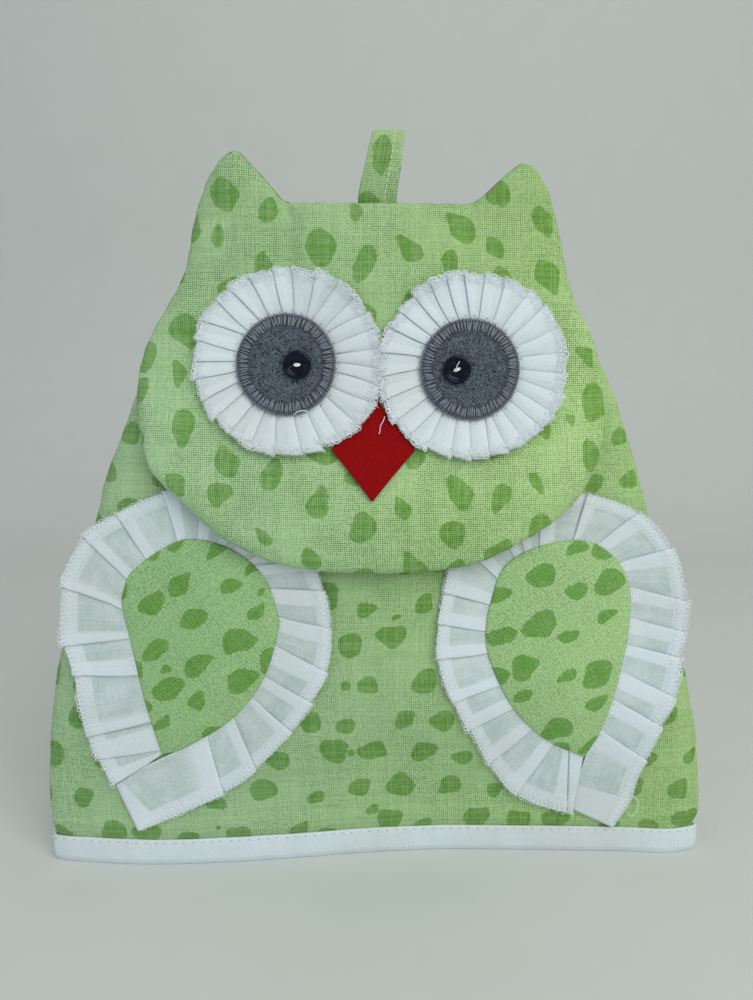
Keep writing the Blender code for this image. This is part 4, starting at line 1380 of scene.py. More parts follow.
@dataclass
class PleatedStrip:
    """A white cotton strip laid in knife pleats between its sewn edge and its free edge.

    Each fold's edge lies on the pleat before it. The cloth under a fold is
    doubled, so a band beside the fold is opaque and the rest is sheer.
    """

    name: str
    inner: Rail
    outer: Rail
    base: Surface
    folds: Sequence[Point2]
    seed: int
    closed: bool
    rise: float = 1.2
    height: float = 1.25
    band: tuple[float, float] = (5.0, 8.0)
    sheerness: float = 1.0
    step: float = 0.8
    hem: float = 0.25
    end_lift: float = 0.0
    tip: float = 1e6
    tail: float = 0.755
    fray_and_gap_shade: float = 0.0
    bend: float = 0.35
    uneven: float = 0.3
    rows: int = 20

    def profile(self, band: float, shape: float) -> list[tuple[float, float, float]]:
        """Give one pleat from its fold to under the next.

        Args:
            band: share of the pleat where the cloth is doubled.
            shape: from 0 to 1, how much the pleat billows.

        Returns:
            Rows of the share across the pleat, its height and how sheer it is.
        """
        billow = 0.12 * shape
        rest = 1 - band
        return [(-0.01, 0.7, 0.0), (-0.005, 0.93, 0.0), (0.03, 1.0, 0.0), (band * 0.55, 0.93, 0.0),
                (band - 0.04, 0.78, 0.0), (band + 0.03, 0.68, 1.0), (band + rest * 0.4, 0.5 + billow, 1.0),
                (band + rest * 0.75, 0.34 + billow, 1.0), (0.97, 0.2, 1.0), (1.05, 0.1, 1.0),
                (1.12, 0.12, 0.5), (1.13, 0.3, 0.2), (1.1, 0.42, 0.0), (1.02, 0.5, 0.0)]

    def lay(self) -> None:
        """Lay out the folds as a grid of points, rows from the sewn edge to the free edge."""
        rng = np.random.default_rng(self.seed)
        step = 1 - self.hem
        across = np.concatenate([[0.0], np.linspace(0.04, step - 0.012, self.rows - 7), [step + 0.012],
                                 np.linspace(step + 0.07, 0.97, 3), [0.99, 1.0]])
        folds = np.asarray(self.folds, float)
        if self.closed:
            folds = np.vstack([folds, folds[0] + [self.outer.length, self.inner.length]])
        bends = rng.uniform(-self.bend, self.bend, len(folds))
        bends[-1] = bends[0] if self.closed else 0.0
        columns, shade, self.top = [], [], []
        last = len(folds) - 2
        for k in range(len(folds) - 1):
            (o0, i0), (o1, i1) = folds[k], folds[k + 1]
            wide = o1 - o0
            band = float(np.clip(rng.uniform(*self.band) / wide, 0.2, 0.7))
            tall = rng.uniform(0.85, 1.1)
            out_step = rng.uniform(0.5, 1.3) * self.step
            reach = rng.uniform(-self.uneven, self.uneven)
            rows = self.profile(band, rng.uniform(0.0, 1.0))
            if k == last and not self.closed:
                rows = [row for row in rows if row[0] < self.tail - 0.1] + [
                    (self.tail - 0.02, 0.34, 1.0), (self.tail, 0.4, 0.0), (0.97, 0.36, 0.0), (1.0, 0.28, 0.0)]
            for share, high, sheer in rows:
                narrow = 1 + (0.25 * (1 - across) if 0.2 < share < 0.9 else 0.0)
                q = np.minimum(share * narrow, max(share, 0.93))
                a, b = self.inner.at(i0 + q * (i1 - i0)), self.outer.at(o0 + q * (o1 - o0))
                span = float(np.linalg.norm(b - a, axis=1).mean())
                past = reach + out_step * (0.4 - min(max(share, 0.0), 1.0))
                p = a + (b - a) * (across * (1 + past / span))[:, None]
                side = unit(b - a)[:, [1, 0]] * np.array([1.0, -1.0])
                wave = (bends[k] * (1 - share) + bends[k + 1] * share) * np.sin(math.pi * across ** 0.8)
                p = p + side * wave[:, None]
                press = 0.35 + 0.65 * ease(0.0, 0.5, across)
                lift = self.rise * across ** 1.3 + self.height * high * tall * press
                lift = lift + 0.14 * ease(step - 0.01, step + 0.01, across)
                lift = lift + self.end_lift * ease(self.tip - 12.0, self.tip + 6.0, i0 + q * (i1 - i0))
                y = self.base(p[:, 0], p[:, 1]) - GAP - 0.25 - lift
                columns.append(np.column_stack([p[:, 0], y, p[:, 1]]))
                shade.append(np.full(len(across), sheer))
                self.top.append(-0.006 < share < 0.98)
        self.front = np.stack(columns, axis=1)
        self.across = across
        self.shade = np.stack(shade, axis=1) * self.sheerness
        front = self.front
        along = np.gradient(front, axis=1)
        if self.closed:
            along = np.roll(front, -1, axis=1) - np.roll(front, 1, axis=1)
        self.way = unit(np.cross(along, np.gradient(front, axis=0)))
        if self.way[..., 1].mean() > 0:
            self.way = -self.way

    def build(self, finish: Material) -> Thing:
        """Make the strip as one closed sheet and measure it.

        Args:
            finish: the white cotton.

        Returns:
            The piece.
        """
        self.lay()
        back = self.front - self.way * 0.26
        points, faces = shell(self.front, back, ring=self.closed)
        width = np.linalg.norm(self.front[-1] - self.front[0], axis=1).mean()
        edge = self.front[-1]
        run = np.cumsum(np.linalg.norm(edge - np.roll(edge, 1, axis=0), axis=1))
        uv = np.stack(np.broadcast_arrays(run[None, :], (self.across * width)[:, None]), -1).reshape(-1, 2)
        # The turned hem is three layers thick, so it is hardly sheer.
        hem = ease(1 - self.hem - 0.013, 1 - self.hem + 0.013, self.across)[:, None]
        seam = ease(0.07, 0.02, self.across)[:, None]
        shade = self.shade * (1 - 0.8 * hem) * (1 - 0.6 * seam)
        # Near the free edge the threads have come apart, and the gaps between them take deeper painted shade.
        loose = np.broadcast_to(self.fray_and_gap_shade * ease(0.8, 0.93, self.across)[:, None], shade.shape)
        values = {"sheer": np.tile(shade.ravel(), 2), "fray_and_gap_shade": np.tile(loose.ravel(), 2)}
        mesh = ClothMesh(points, faces, np.vstack([uv, uv]), values)
        piece = mesh.to_object(self.name + "_pleated", finish)
        self.width = width / MM
        self.long = mesh_area(piece.data) / 2 / self.width
        LOG.info("%s: strip %.0f by %.0f mm", self.name, self.long * 1000, width)
        return piece

    def row(self, level: float) -> tuple[Array, Array]:
        """Read the top of the folds.

        Args:
            level: share of the way from the sewn edge to the free edge.

        Returns:
            N by 3 points, and the normals there.
        """
        keep = np.array(self.top)
        k = int(np.searchsorted(self.across, level) - 1)
        t = (level - self.across[k]) / (self.across[k + 1] - self.across[k])
        line = self.front[k] * (1 - t) + self.front[k + 1] * t
        return line[keep], self.way[k][keep]


def mesh_area(mesh: bpy.types.Mesh) -> float:
    """Add up a mesh's faces, in square metres."""
    areas = np.empty(len(mesh.polygons), np.float32)
    mesh.polygons.foreach_get("area", areas)
    return float(areas.sum())


@dataclass
class Eye(Maker):
    """One eye: pleated ring, felt disc with its zigzag edge, and button."""

    draft: EyeDraft
    pleats: int = 27
    inner_radius: float = 16.0
    outer_radius: float = 38.6
    oval: float = 1.005
    rim: float = 1.1
    rise: float = 1.45

    def circle(self, centre: Point2, radius: float) -> Rail:
        """Draw a nearly round ring, clockwise from the top.

        Args:
            centre: its x and z.
            radius: in millimetres.

        Returns:
            The closed line.
        """
        t = np.linspace(0, TURN, 361)
        nose = 2.3 if centre[0] < 0 else 3.98
        # The pleats next to the beak are pulled out a little further.
        reach = radius * (1 + 0.04 * np.exp(-((t - nose) / 0.45) ** 2))
        line = np.column_stack([centre[0] + reach * np.sin(t), centre[1] + 0.965 * reach * np.cos(t)])
        return Rail(line, True)

    def build(self) -> None:
        """Make every piece of the eye."""
        self.ruffle()
        self.felt()
        self.button()

    def ruffle(self) -> None:
        """Make the pleated ring with its stitches and its frayed edge."""
        draft, name = self.draft, "eye_ruffle_" + self.draft.name
        rng = np.random.default_rng(draft.seed)
        inner = self.circle(draft.ruffle, self.inner_radius)
        outer = self.circle(draft.ruffle, self.outer_radius)
        widths = rng.uniform(0.76, 1.26, self.pleats)
        starts = np.concatenate([[0.0], np.cumsum(widths)[:-1]]) / widths.sum() + draft.turn
        slants = rng.uniform(-0.016, 0.016, self.pleats) + 0.006
        folds = [(s * outer.length, (s + d) * inner.length) for s, d in zip(starts, slants)]
        strip = PleatedStrip(name, inner, outer, self.shapes.head_front, folds, draft.seed, True,
                             rise=2.1, height=1.15, band=(3.5, 5.5), sheerness=0.3, step=1.1, hem=0.12,
                             bend=0.9, uneven=0.9, fray_and_gap_shade=1.0)
        piece = strip.build(self.finishes.white_cloth)
        hand_over(piece, name)
        self.edge(name + "_frayed_edge", strip.front[-1], draft.ruffle, rng, 0.95, 0.66, True)

    def under_felt(self, x: Array, z: Array) -> Array:
        """Give the face that the felt lies on."""
        return self.shapes.head_front(x, z) - 2.45

    def felt_height(self, depth: Array) -> Array:
        """Give the felt's thickness at this depth from its edge, less where the stitches press it down."""
        press = 0.3 * ease(5.6, 3.6, depth) * ease(0.0, 1.2, depth)
        return (self.rise - press) * rounded(depth, self.rim)

    def felt(self) -> None:
        """Make the felt disc and the dense zigzag over its edge."""
        draft = self.draft
        rng = np.random.default_rng(draft.seed + 50)
        turns = np.linspace(0, TURN, 160, endpoint=False)
        wobble = 1 + 0.008 * np.sin(3 * turns + draft.seed) + 0.004 * np.sin(7 * turns)
        centre = np.array(draft.felt)
        line = centre + (np.column_stack([np.cos(turns), self.oval * np.sin(turns)])
                         * (draft.felt_radius * wobble)[:, None])
        shares = np.concatenate([np.linspace(0.05, 0.9, 22), 1 - 0.1 * (1 - np.linspace(0.15, 1, 8)) ** 2])
        rings = rings_round(centre, line, shares)
        x, z = rings[..., 0], rings[..., 1]
        base = self.under_felt(x, z)
        depth = draft.felt_radius * (1 - shares)[:, None]
        bx, bz = draft.button
        dimple = 0.5 * np.exp(-(np.hypot(x - bx, z - bz) / 5.5) ** 2)
        soft = face_lumps(x, z, 9.0, 20.0 + draft.seed) * 0.18
        front = base - 0.35 - self.felt_height(depth) + dimple + soft * ease(0.0, 3.0, depth)
        points, faces = disc(rings, front, base - 0.05 + 0 * front)
        name = "eye_felt_" + draft.name
        across, up = points[:, 0] - centre[0], (points[:, 2] - centre[1]) / self.oval
        from_edge = draft.felt_radius - np.hypot(across, up)
        pressed = ease(5.6, 4.9, from_edge) * ease(0.1, 0.6, from_edge)
        mesh = ClothMesh(points, faces, None, {"pressed": pressed})
        piece = mesh.to_object(name + "_disc", self.finishes.grey_felt)
        hand_over(piece, name)
        self.zigzag(name + "_zigzag", rng)
        self.pinholes("eye_ruffle_" + draft.name + "_needle_holes", rng)
        if not draft.thread_tail:
            ends = centre + np.array([[3.0, -20.8], [4.6, -19.4], [6.6, -18.7], [8.4, -18.9], [9.2, -19.6]])
            y = self.under_felt(ends[:, 0], ends[:, 1]) - np.array([0.2, 1.9, 2.4, 2.1, 0.9])
            thread_tail(name + "_thread_end", list(zip(ends[:, 0], y, ends[:, 1])), 0.2,
                        self.finishes.white_thread, "grey_felt")

    def zigzag(self, name: str, rng: np.random.Generator) -> None:
        """Sew the close radial stitches round the felt's edge.

        Args:
            name: the piece's name.
            rng: the source of unevenness.
        """
        draft = self.draft
        count = 134
        at = (np.arange(count) + rng.uniform(-0.22, 0.22, count)) / count * 2 * math.pi
        turn = rng.normal(0.0, 0.026, count) + 0.02
        long = 5.5 + rng.uniform(-0.65, 0.5, count)
        outside = draft.felt_radius + 0.45 + rng.uniform(-0.22, 0.28, count)
        ends = [np.column_stack([draft.felt[0] + radius * np.cos(angle),
                                 draft.felt[1] + self.oval * radius * np.sin(angle)])
                for radius, angle in ((outside, at), (outside - long, at + turn))]
        threads = Repeats()
        # Each stitch is three short pieces, so that it bends over the felt's rim.
        for shares in ((0.0, 0.08), (0.05, 0.22), (0.18, 1.0)):
            pair = []
            for share in shares:
                x, z = (ends[0] + (ends[1] - ends[0]) * share).T
                deep = draft.felt_radius - np.hypot(x - draft.felt[0], (z - draft.felt[1]) / self.oval)
                y = self.under_felt(x, z) - 0.5 - self.felt_height(np.clip(deep, 0, 9))
                pair.append(np.column_stack([x, y, z]))
            way = pair[1] - pair[0]
            half = np.linalg.norm(way, axis=1) / 2
            reach = [half * 1.08, rng.uniform(0.33, 0.42, count), rng.uniform(0.26, 0.36, count)]
            threads.add((pair[0] + pair[1]) / 2, unit(way), FACING, np.column_stack(reach))
        threads.sew(self.stitches, name, self.finishes.grey_thread, "grey_felt")

    def pinholes(self, name: str, rng: np.random.Generator) -> None:
        """Mark the holes of the needle on the white just outside the felt.

        Args:
            name: the piece's name.
            rng: the source of unevenness.
        """
        draft = self.draft
        count = 30
        t = (np.arange(count) + rng.uniform(-0.15, 0.15, count)) / count * 2 * math.pi
        radius = draft.felt_radius + 1.7 + rng.uniform(-0.35, 0.35, count)
        x = draft.felt[0] + radius * np.cos(t)
        z = draft.felt[1] + radius * np.sin(t)
        y = self.under_felt(x, z) + 0.52
        way = np.column_stack([-np.sin(t), np.zeros(count), np.cos(t)])
        holes = Repeats()
        holes.add(np.column_stack([x, y, z]), way, FACING, np.array([0.22, 0.18, 0.5]))
        holes.sew(self.stitches, name, self.finishes.pinhole, "white_cotton")

    def button(self) -> None:
        """Make the turned button and the thread through its two holes."""
        draft = self.draft
        bx, bz = draft.button
        seat = float(self.under_felt(np.array([bx]), np.array([bz]))[0]) - 1.95
        name = "button_" + draft.name
        # The turned outline: radius and height, from the back's middle round the rim to the front's.
        outline_rows = np.array([
            (0.0, 0.0), (4.2, 0.0), (5.2, 0.35), (5.72, 1.0), (5.76, 1.9), (5.55, 2.35), (5.15, 2.62),
            (4.7, 2.62), (4.35, 2.4), (4.15, 2.0), (3.9, 1.72), (3.3, 1.62), (2.2, 1.5), (1.0, 1.42),
            (0.0, 1.4)])
        turns = np.linspace(0, TURN, 72, endpoint=False)
        radius, high = outline_rows[1:-1].T
        grid = np.stack([np.column_stack([bx + radius * math.cos(t), seat - high, bz + radius * math.sin(t)])
                         for t in turns], axis=1)
        n, cols = grid.shape[:2]
        ends = [[bx, seat - outline_rows[k, 1], bz] for k in (0, -1)]
        points = np.vstack([grid.reshape(-1, 3), ends])
        first, last = len(points) - 2, len(points) - 1
        faces = tube_faces(n, cols)
        faces += [(first, (c + 1) % cols, c) for c in range(cols)]
        faces += [(last, (n - 1) * cols + c, (n - 1) * cols + (c + 1) % cols) for c in range(cols)]
        piece = ClothMesh(points, faces).to_object(name + "_turned", self.finishes.resin)
        self.drill(piece, bx, seat, bz)
        hand_over(piece, name)
        bar = Repeats()
        tilt = 0.35 if draft.thread_tail else 0.05
        way = np.array([[math.cos(tilt), 0.0, math.sin(tilt)]] * 4)
        across = np.array([[-math.sin(tilt), 0.0, math.cos(tilt)]] * 4)
        shifts = np.array([-0.48, -0.16, 0.16, 0.48])[:, None]
        spots = np.array([[bx, seat - 1.78, bz]] * 4) + across * shifts
        bar.add(spots, way + across * np.array([0.05, -0.04, 0.06, -0.05])[:, None], FACING,
                np.array([[1.3, 0.24, 0.3], [1.75, 0.26, 0.4], [1.75, 0.26, 0.4], [1.3, 0.24, 0.3]]))
        white = self.finishes.white_thread
        bar.sew(self.stitches, name + "_thread", white, "black_button", sides=10)
        if draft.thread_tail:
            path = np.array([(-0.2, -1.9, 0.0), (-0.4, -3.0, 0.9), (0.1, -3.9, 2.2), (0.7, -4.3, 3.2)])
            thread_tail(name + "_thread_end", path + [bx, seat, bz], 0.2, white, "black_button")

    def drill(self, piece: Thing, x: float, y: float, z: float) -> None:
        """Cut the two thread holes through the button.

        Args:
            piece: the turned button.
            x: its middle's x in the maker's millimetres.
            y: its seat's y.
            z: its middle's z.
        """
        for side in (-1, 1):
            bpy.ops.mesh.primitive_cylinder_add(vertices=20, radius=0.9 / MM, depth=20.0 / MM)
            tool = bpy.context.object
            tool.rotation_euler = (math.pi / 2, 0, 0)
            tool.location = Vector(row_frame(np.array([x + side * 1.45, y, z])))
            cut = piece.modifiers.new("hole", "BOOLEAN")
            cut.operation, cut.solver, cut.object = "DIFFERENCE", "EXACT", tool
            bpy.context.view_layer.update()
            done = bpy.data.meshes.new_from_object(piece.evaluated_get(bpy.context.evaluated_depsgraph_get()))
            piece.modifiers.clear()
            piece.data = done
            bpy.data.objects.remove(tool)


@dataclass
class Wing(Maker):
    """One wing: the backed teardrop and the pleated strip round it."""

    draft: WingDraft

    def build(self) -> None:
        """Make the teardrop, the strip and its stitches."""
        self.panel()
        self.strip()

    def panel(self) -> None:
        """Make the green teardrop, low at its edge and a little padded."""
        d = self.draft
        rail = Rail(outline(d.panel_x, d.panel_z, True), True)
        line = rail.at(np.linspace(0, rail.length, 260, endpoint=False))
        centre = np.array(d.centre)
        line = line + unit(line - centre) * 0.25
        shares = np.concatenate([np.linspace(0.03, 0.88, 26),
                                 1 - 0.12 * (1 - np.linspace(0.12, 1, 10)) ** 1.7])
        rings = rings_round(centre, line, shares)
        x, z = rings[..., 0], rings[..., 1]
        depth = nearest(x, z, line)
        base = self.shapes.body.front(x, z) - GAP - 0.15
        soft = face_lumps(x, z, 24.0, 30.0 + d.seed) * 0.5
        front = base - 0.75 - 0.5 * rounded(depth, 1.3) - 1.9 * (1 - np.exp(-depth / 8.0))
        points, faces = disc(rings, front + soft * ease(0.5, 6.0, depth), base)
        cos, sin = math.cos(d.cloth_turn), math.sin(d.cloth_turn)
        uv = (points[:, [0, 2]] - centre) @ np.array([[cos, -sin], [sin, cos]])
        uv = uv + np.array([310.0 + d.seed * 13.0, 47.0])
        name = "wing_" + d.name
        piece = ClothMesh(points, faces, uv).to_object(name + "_panel", self.finishes.backed_print)
        hand_over(piece, name)

    def strip(self) -> None:
        """Make the pleated strip, its hem stitches, its loops and its needle holes."""
        d = self.draft
        rng = np.random.default_rng(d.seed)
        centre = np.array(d.centre)
        panel = outline(d.panel_x, d.panel_z, True)
        panel = panel + unit(panel - centre) * 0.1
        # Past the tip, the sewn edge runs straight on to the second corner of the strip's end.
        corner = np.array([d.edge_x[1], d.edge_z[1]])
        tip = panel[-1]
        inner = Rail(np.vstack([panel, tip + (corner - tip) * np.array([[0.5], [0.98], [1.0]])]))
        outer = Rail(outline(d.edge_x, d.edge_z, True), False)
        name = "wing_ruffle_" + d.name
        strip = PleatedStrip(name, inner, outer, self.shapes.body.front, d.folds, d.seed, False,
                             end_lift=0.9, tip=Rail(panel).length, tail=d.tail)
        piece = strip.build(self.finishes.white_cloth)
        hand_over(piece, name)
        self.edge(name + "_picot_edge", strip.row(1.0)[0], d.centre, rng, 1.6, 0.58, False)
        self.hem(name + "_hem_zigzag", strip, rng)
        if d.loose_loop:
            x = np.array(d.edge_x[-1]) + np.array([1.0, 3.0, 4.2, 3.4, 1.2, -0.5])
            z = np.array([30.0, 29.0, 25.5, 21.5, 19.5, 21.0])
            y = self.shapes.body.front(x, z) - np.array([2.2, 2.8, 2.6, 2.6, 2.8, 2.6])
            thread_tail(name + "_loose_thread", list(zip(x, y, z)), 0.16, self.finishes.white_thread,
                        "white_cotton")
        self.holes(name + "_needle_holes", strip, rng)

    def hem(self, name: str, strip: PleatedStrip, rng: np.random.Generator) -> None:
        """Sew the zigzag that holds the strip's turned hem.

        Args:
            name: the piece's name.
            strip: the laid strip.
            rng: the source of unevenness.
        """
        line, way = strip.row(0.97)
        run = run_of(line)
        count = int(run[-1] / 1.05)
        at = (np.arange(count) + rng.uniform(-0.2, 0.2, count)) * run[-1] / count
        low, high = (read_line(at, run, strip.row(level)[0]) for level in (0.79, 0.97))
        normal = unit(read_line(at, run, way))
        odd = (np.arange(count) % 2)[:, None]
        first = low * (1 - odd) + high * odd
        way = np.roll(first, -1, axis=0) - first
        long = np.linalg.norm(way, axis=1)
        keep = long < 7.0
        threads = Repeats()
        reach = np.column_stack([long / 2 * 1.05, np.full(count, 0.15), np.full(count, 0.09)])
        threads.add((first + way / 2 + normal * 0.06)[keep], unit(way)[keep], normal[keep], reach[keep])
        threads.sew(self.stitches, name, self.finishes.white_thread, "white_cotton", sides=5)
        pricks = Repeats()
        keep = keep & (odd[:, 0] == 1)
        pricks.add((first + normal * 0.02)[keep], unit(way)[keep], normal[keep], np.array([0.26, 0.2, 0.07]))
        pricks.sew(self.stitches, name + "_holes", self.finishes.pinhole, "white_cotton", sides=5)

    def holes(self, name: str, strip: PleatedStrip, rng: np.random.Generator) -> None:
        """Mark the needle's holes along the sewn edge.

        Args:
            name: the piece's name.
            strip: the laid strip.
            rng: the source of unevenness.
        """
        line, _ = strip.row(0.055)
        run = run_of(line)
        count = int(run[-1] / 2.6)
        at = (np.arange(count) + rng.uniform(-0.2, 0.2, count)) * run[-1] / count
        points = read_line(at, run, line)
        ahead = read_line((at + 0.5) % run[-1], run, line)
        rows = Repeats()
        rows.add(points, unit(ahead - points), FACING, np.array([0.24, 0.17, 0.1]))
        rows.sew(self.stitches, name, self.finishes.pinhole, "white_cotton")


@dataclass
class Beak(Maker):
    """The red felt diamond."""

    x: Row = (-0.6, 16.1, -1.8, -18.7)
    z: Row = (214.5, 193.2, 171.9, 193.2)
    flat: Point2 = (0.0348, 0.0426)
    corner: float = 1.1

    def build(self) -> None:
        """Make the beak and the loose thread above it."""
        corners = np.column_stack([self.x, self.z])
        line = []
        for i in range(4):
            here, before, after = corners[i], corners[i - 1], corners[(i + 1) % 4]
            a, b = unit(before - here), unit(after - here)
            start, end = here + a * self.corner, here + b * self.corner
            for t in np.linspace(0, 1, 7):
                line.append((1 - t) ** 2 * start + 2 * t * (1 - t) * here + t * t * end)
            bow = np.array([b[1], -b[0]]) * 0.25
            span = after - here
            for s in np.linspace(0.1, 0.9, 17):
                line.append(here + span * s + bow * math.sin(math.pi * s))
        line = np.array(line)
        centre = line.mean(axis=0)
        shares = np.concatenate([np.linspace(0.05, 0.9, 16), [0.94, 0.97, 0.985, 0.995, 1.0]])
        rings = rings_round(centre, line, shares)
        x, z = rings[..., 0], rings[..., 1]
        base = self.shapes.head_front(x, z) - GAP - 0.3
        depth = nearest(x, z, line)
        soft = face_lumps(x, z, 12.0, 40.0) * 0.2
        front = base - 0.45 - 0.95 * rounded(depth, 0.7) + soft * ease(0, 2, depth)
        points, faces = disc(rings, front, base)
        piece = ClothMesh(points, faces).to_object("beak_felt", self.finishes.red_felt)
        hand_over(piece, "beak")
        # A diamond's area is half its box, and the sides bow out a little.
        path = [(3.4, -27.6, 206.8), (2.8, -29.5, 205.2), (1.6, -30.2, 203.0), (1.4, -30.2, 200.8),
                (0.9, -30.1, 199.8)]
        thread_tail("eye_ruffle_right_loose_thread", path, 0.16, self.finishes.white_thread, "white_cotton")


@dataclass
class HemBinding(Maker):
    """The white bias strip folded over the hem."""

    thick: float = 1.2
    near: float = 0.45
    level: float = 1.6
    width: float = 0.0312
    stations: int = 460

    def rail(self, off: Array | float, z: Array | float, share: Array) -> Array:
        """Go round the hem's oval.

        Args:
            off: how far out of the oval.
            z: how high above the hem.
            share: how far round, from 0 to 1.

        Returns:
            N by 3 points.
        """
        draft = self.shapes.body
        middle, half, deep, _ = (float(v) for v in draft.size(np.array(self.level)))
        ux, uy = draft.oval(share)
        deep = np.where(uy < 0, draft.front_deep(ux, self.level), deep)
        y = draft.seam_y(ux, self.level) + (deep + off) * uy
        return np.stack(np.broadcast_arrays(middle + (half + off) * ux, y, np.asarray(z, float)), -1)

    def section(self) -> list[Point2]:
        """Draw the folded strip cut across.

        Returns:
            Points of how far out of the hem's oval, and how high.
        """
        pad, near = float(self.shapes.body.size(np.array(self.level))[3]), self.near
        out, deepest = near + self.thick, -pad - near
        far = deepest - self.thick
        r = 0.5
        return [(out, 2.6), (out + 0.12, 5.5), (out + 0.15, 8.5), (out - 0.15, 10.2), (out - 0.1, 11.2),
                (out - 0.2, 12.1), (out - 0.55, 12.5), (near + 0.2, 12.45), (near, 12.0), (near, 6.5),
                (near, 1.4), (-pad / 2, 1.25), (deepest, 1.4), (deepest, 6.5), (deepest, 12.0),
                (deepest - 0.3, 12.5), (far + 0.2, 12.5), (far, 11.8), (far - 0.1, 6.5), (far, 2.2),
                (far + 0.15, 0.9), (far + r, 0.15), (far + 1.1, 0.0), (-pad / 2, 0.0), (out - 1.2, 0.0),
                (out - r, 0.15), (out - 0.12, 0.9)]

    def around(self, share: Array, size: float, seed: float) -> Array:
        """Give unevenness that runs on smoothly round the whole hem."""
        turns = (2 * math.pi * s for s in share)
        return np.array([noise.noise(Vector((math.cos(t) * size, math.sin(t) * size, seed))) for t in turns])

    def build(self) -> None:
        """Make the strip and its line of stitches."""
        section = self.section()
        share = np.linspace(0, 1, self.stations, endpoint=False)
        wave, fine = self.around(share, 2.4, 3.1), self.around(share, 13, 8.4)
        grid = []
        for off, z in section:
            top = float(ease(3.0, 11.0, z))
            outer = (1.7 if off > self.near + 0.3 else 1.0) if off > 0 else 0.3
            moved = off + 0.45 * fine * outer * float(ease(0.2, 4.0, z))
            grid.append(self.rail(moved, z + top * (0.45 * wave + 0.45 * fine), share))
        front = np.stack(grid, axis=0)
        rows, cols = front.shape[:2]
        faces = [quad[:1] + quad[:0:-1] for quad in tube_faces(rows, cols, wrap=True)]
        run, folded = run_of(front[0]), run_of(np.array(section))
        uv = np.stack([np.broadcast_to(run[None, :], (rows, cols)),
                       np.broadcast_to(folded[:, None], (rows, cols))], -1)
        values = {"sheer": np.full(rows * cols, 0.12)}
        mesh = ClothMesh(front.reshape(-1, 3), faces, uv.reshape(-1, 2), values)
        piece = mesh.to_object("hem_binding_bias", self.finishes.white_cloth)
        hand_over(piece, "hem_binding")
        self.sew(front[4], run)

    def sew(self, row: Array, run: Array) -> None:
        """Sew the line of stitches along the strip's upper edge, with the holes between them.

        Args:
            row: the line of points that they follow.
            run: how far along it each of those is.
        """
        rng = np.random.default_rng(77)
        count = int(run[-1] / 4.3)
        at = (np.arange(count) + rng.uniform(-0.06, 0.06, count)) / count
        line = read_line(at * run[-1], run, row)
        way = unit(read_line(((at + 0.001) % 1.0) * run[-1], run, row) - line)
        up = unit(np.cross(way, np.array([0.0, 0.0, 1.0])))
        inside = np.einsum("ij,ij->i", up, line * np.array([1.0, 1.0, 0.0])) < 0
        up[inside] *= -1
        holes, threads = Repeats(), Repeats()
        holes.add(line + up * 0.02, way, up, np.array([0.3, 0.24, 0.12]))
        holes.sew(self.stitches, "hem_binding_needle_holes", self.finishes.pinhole, "white_cotton")
        threads.add(line + way * (run[-1] / count / 2) + up * 0.03, way, up, np.array([1.6, 0.15, 0.13]))
        threads.sew(self.stitches, "hem_binding_stitches", self.finishes.white_thread,
                    "white_cotton", sides=5)


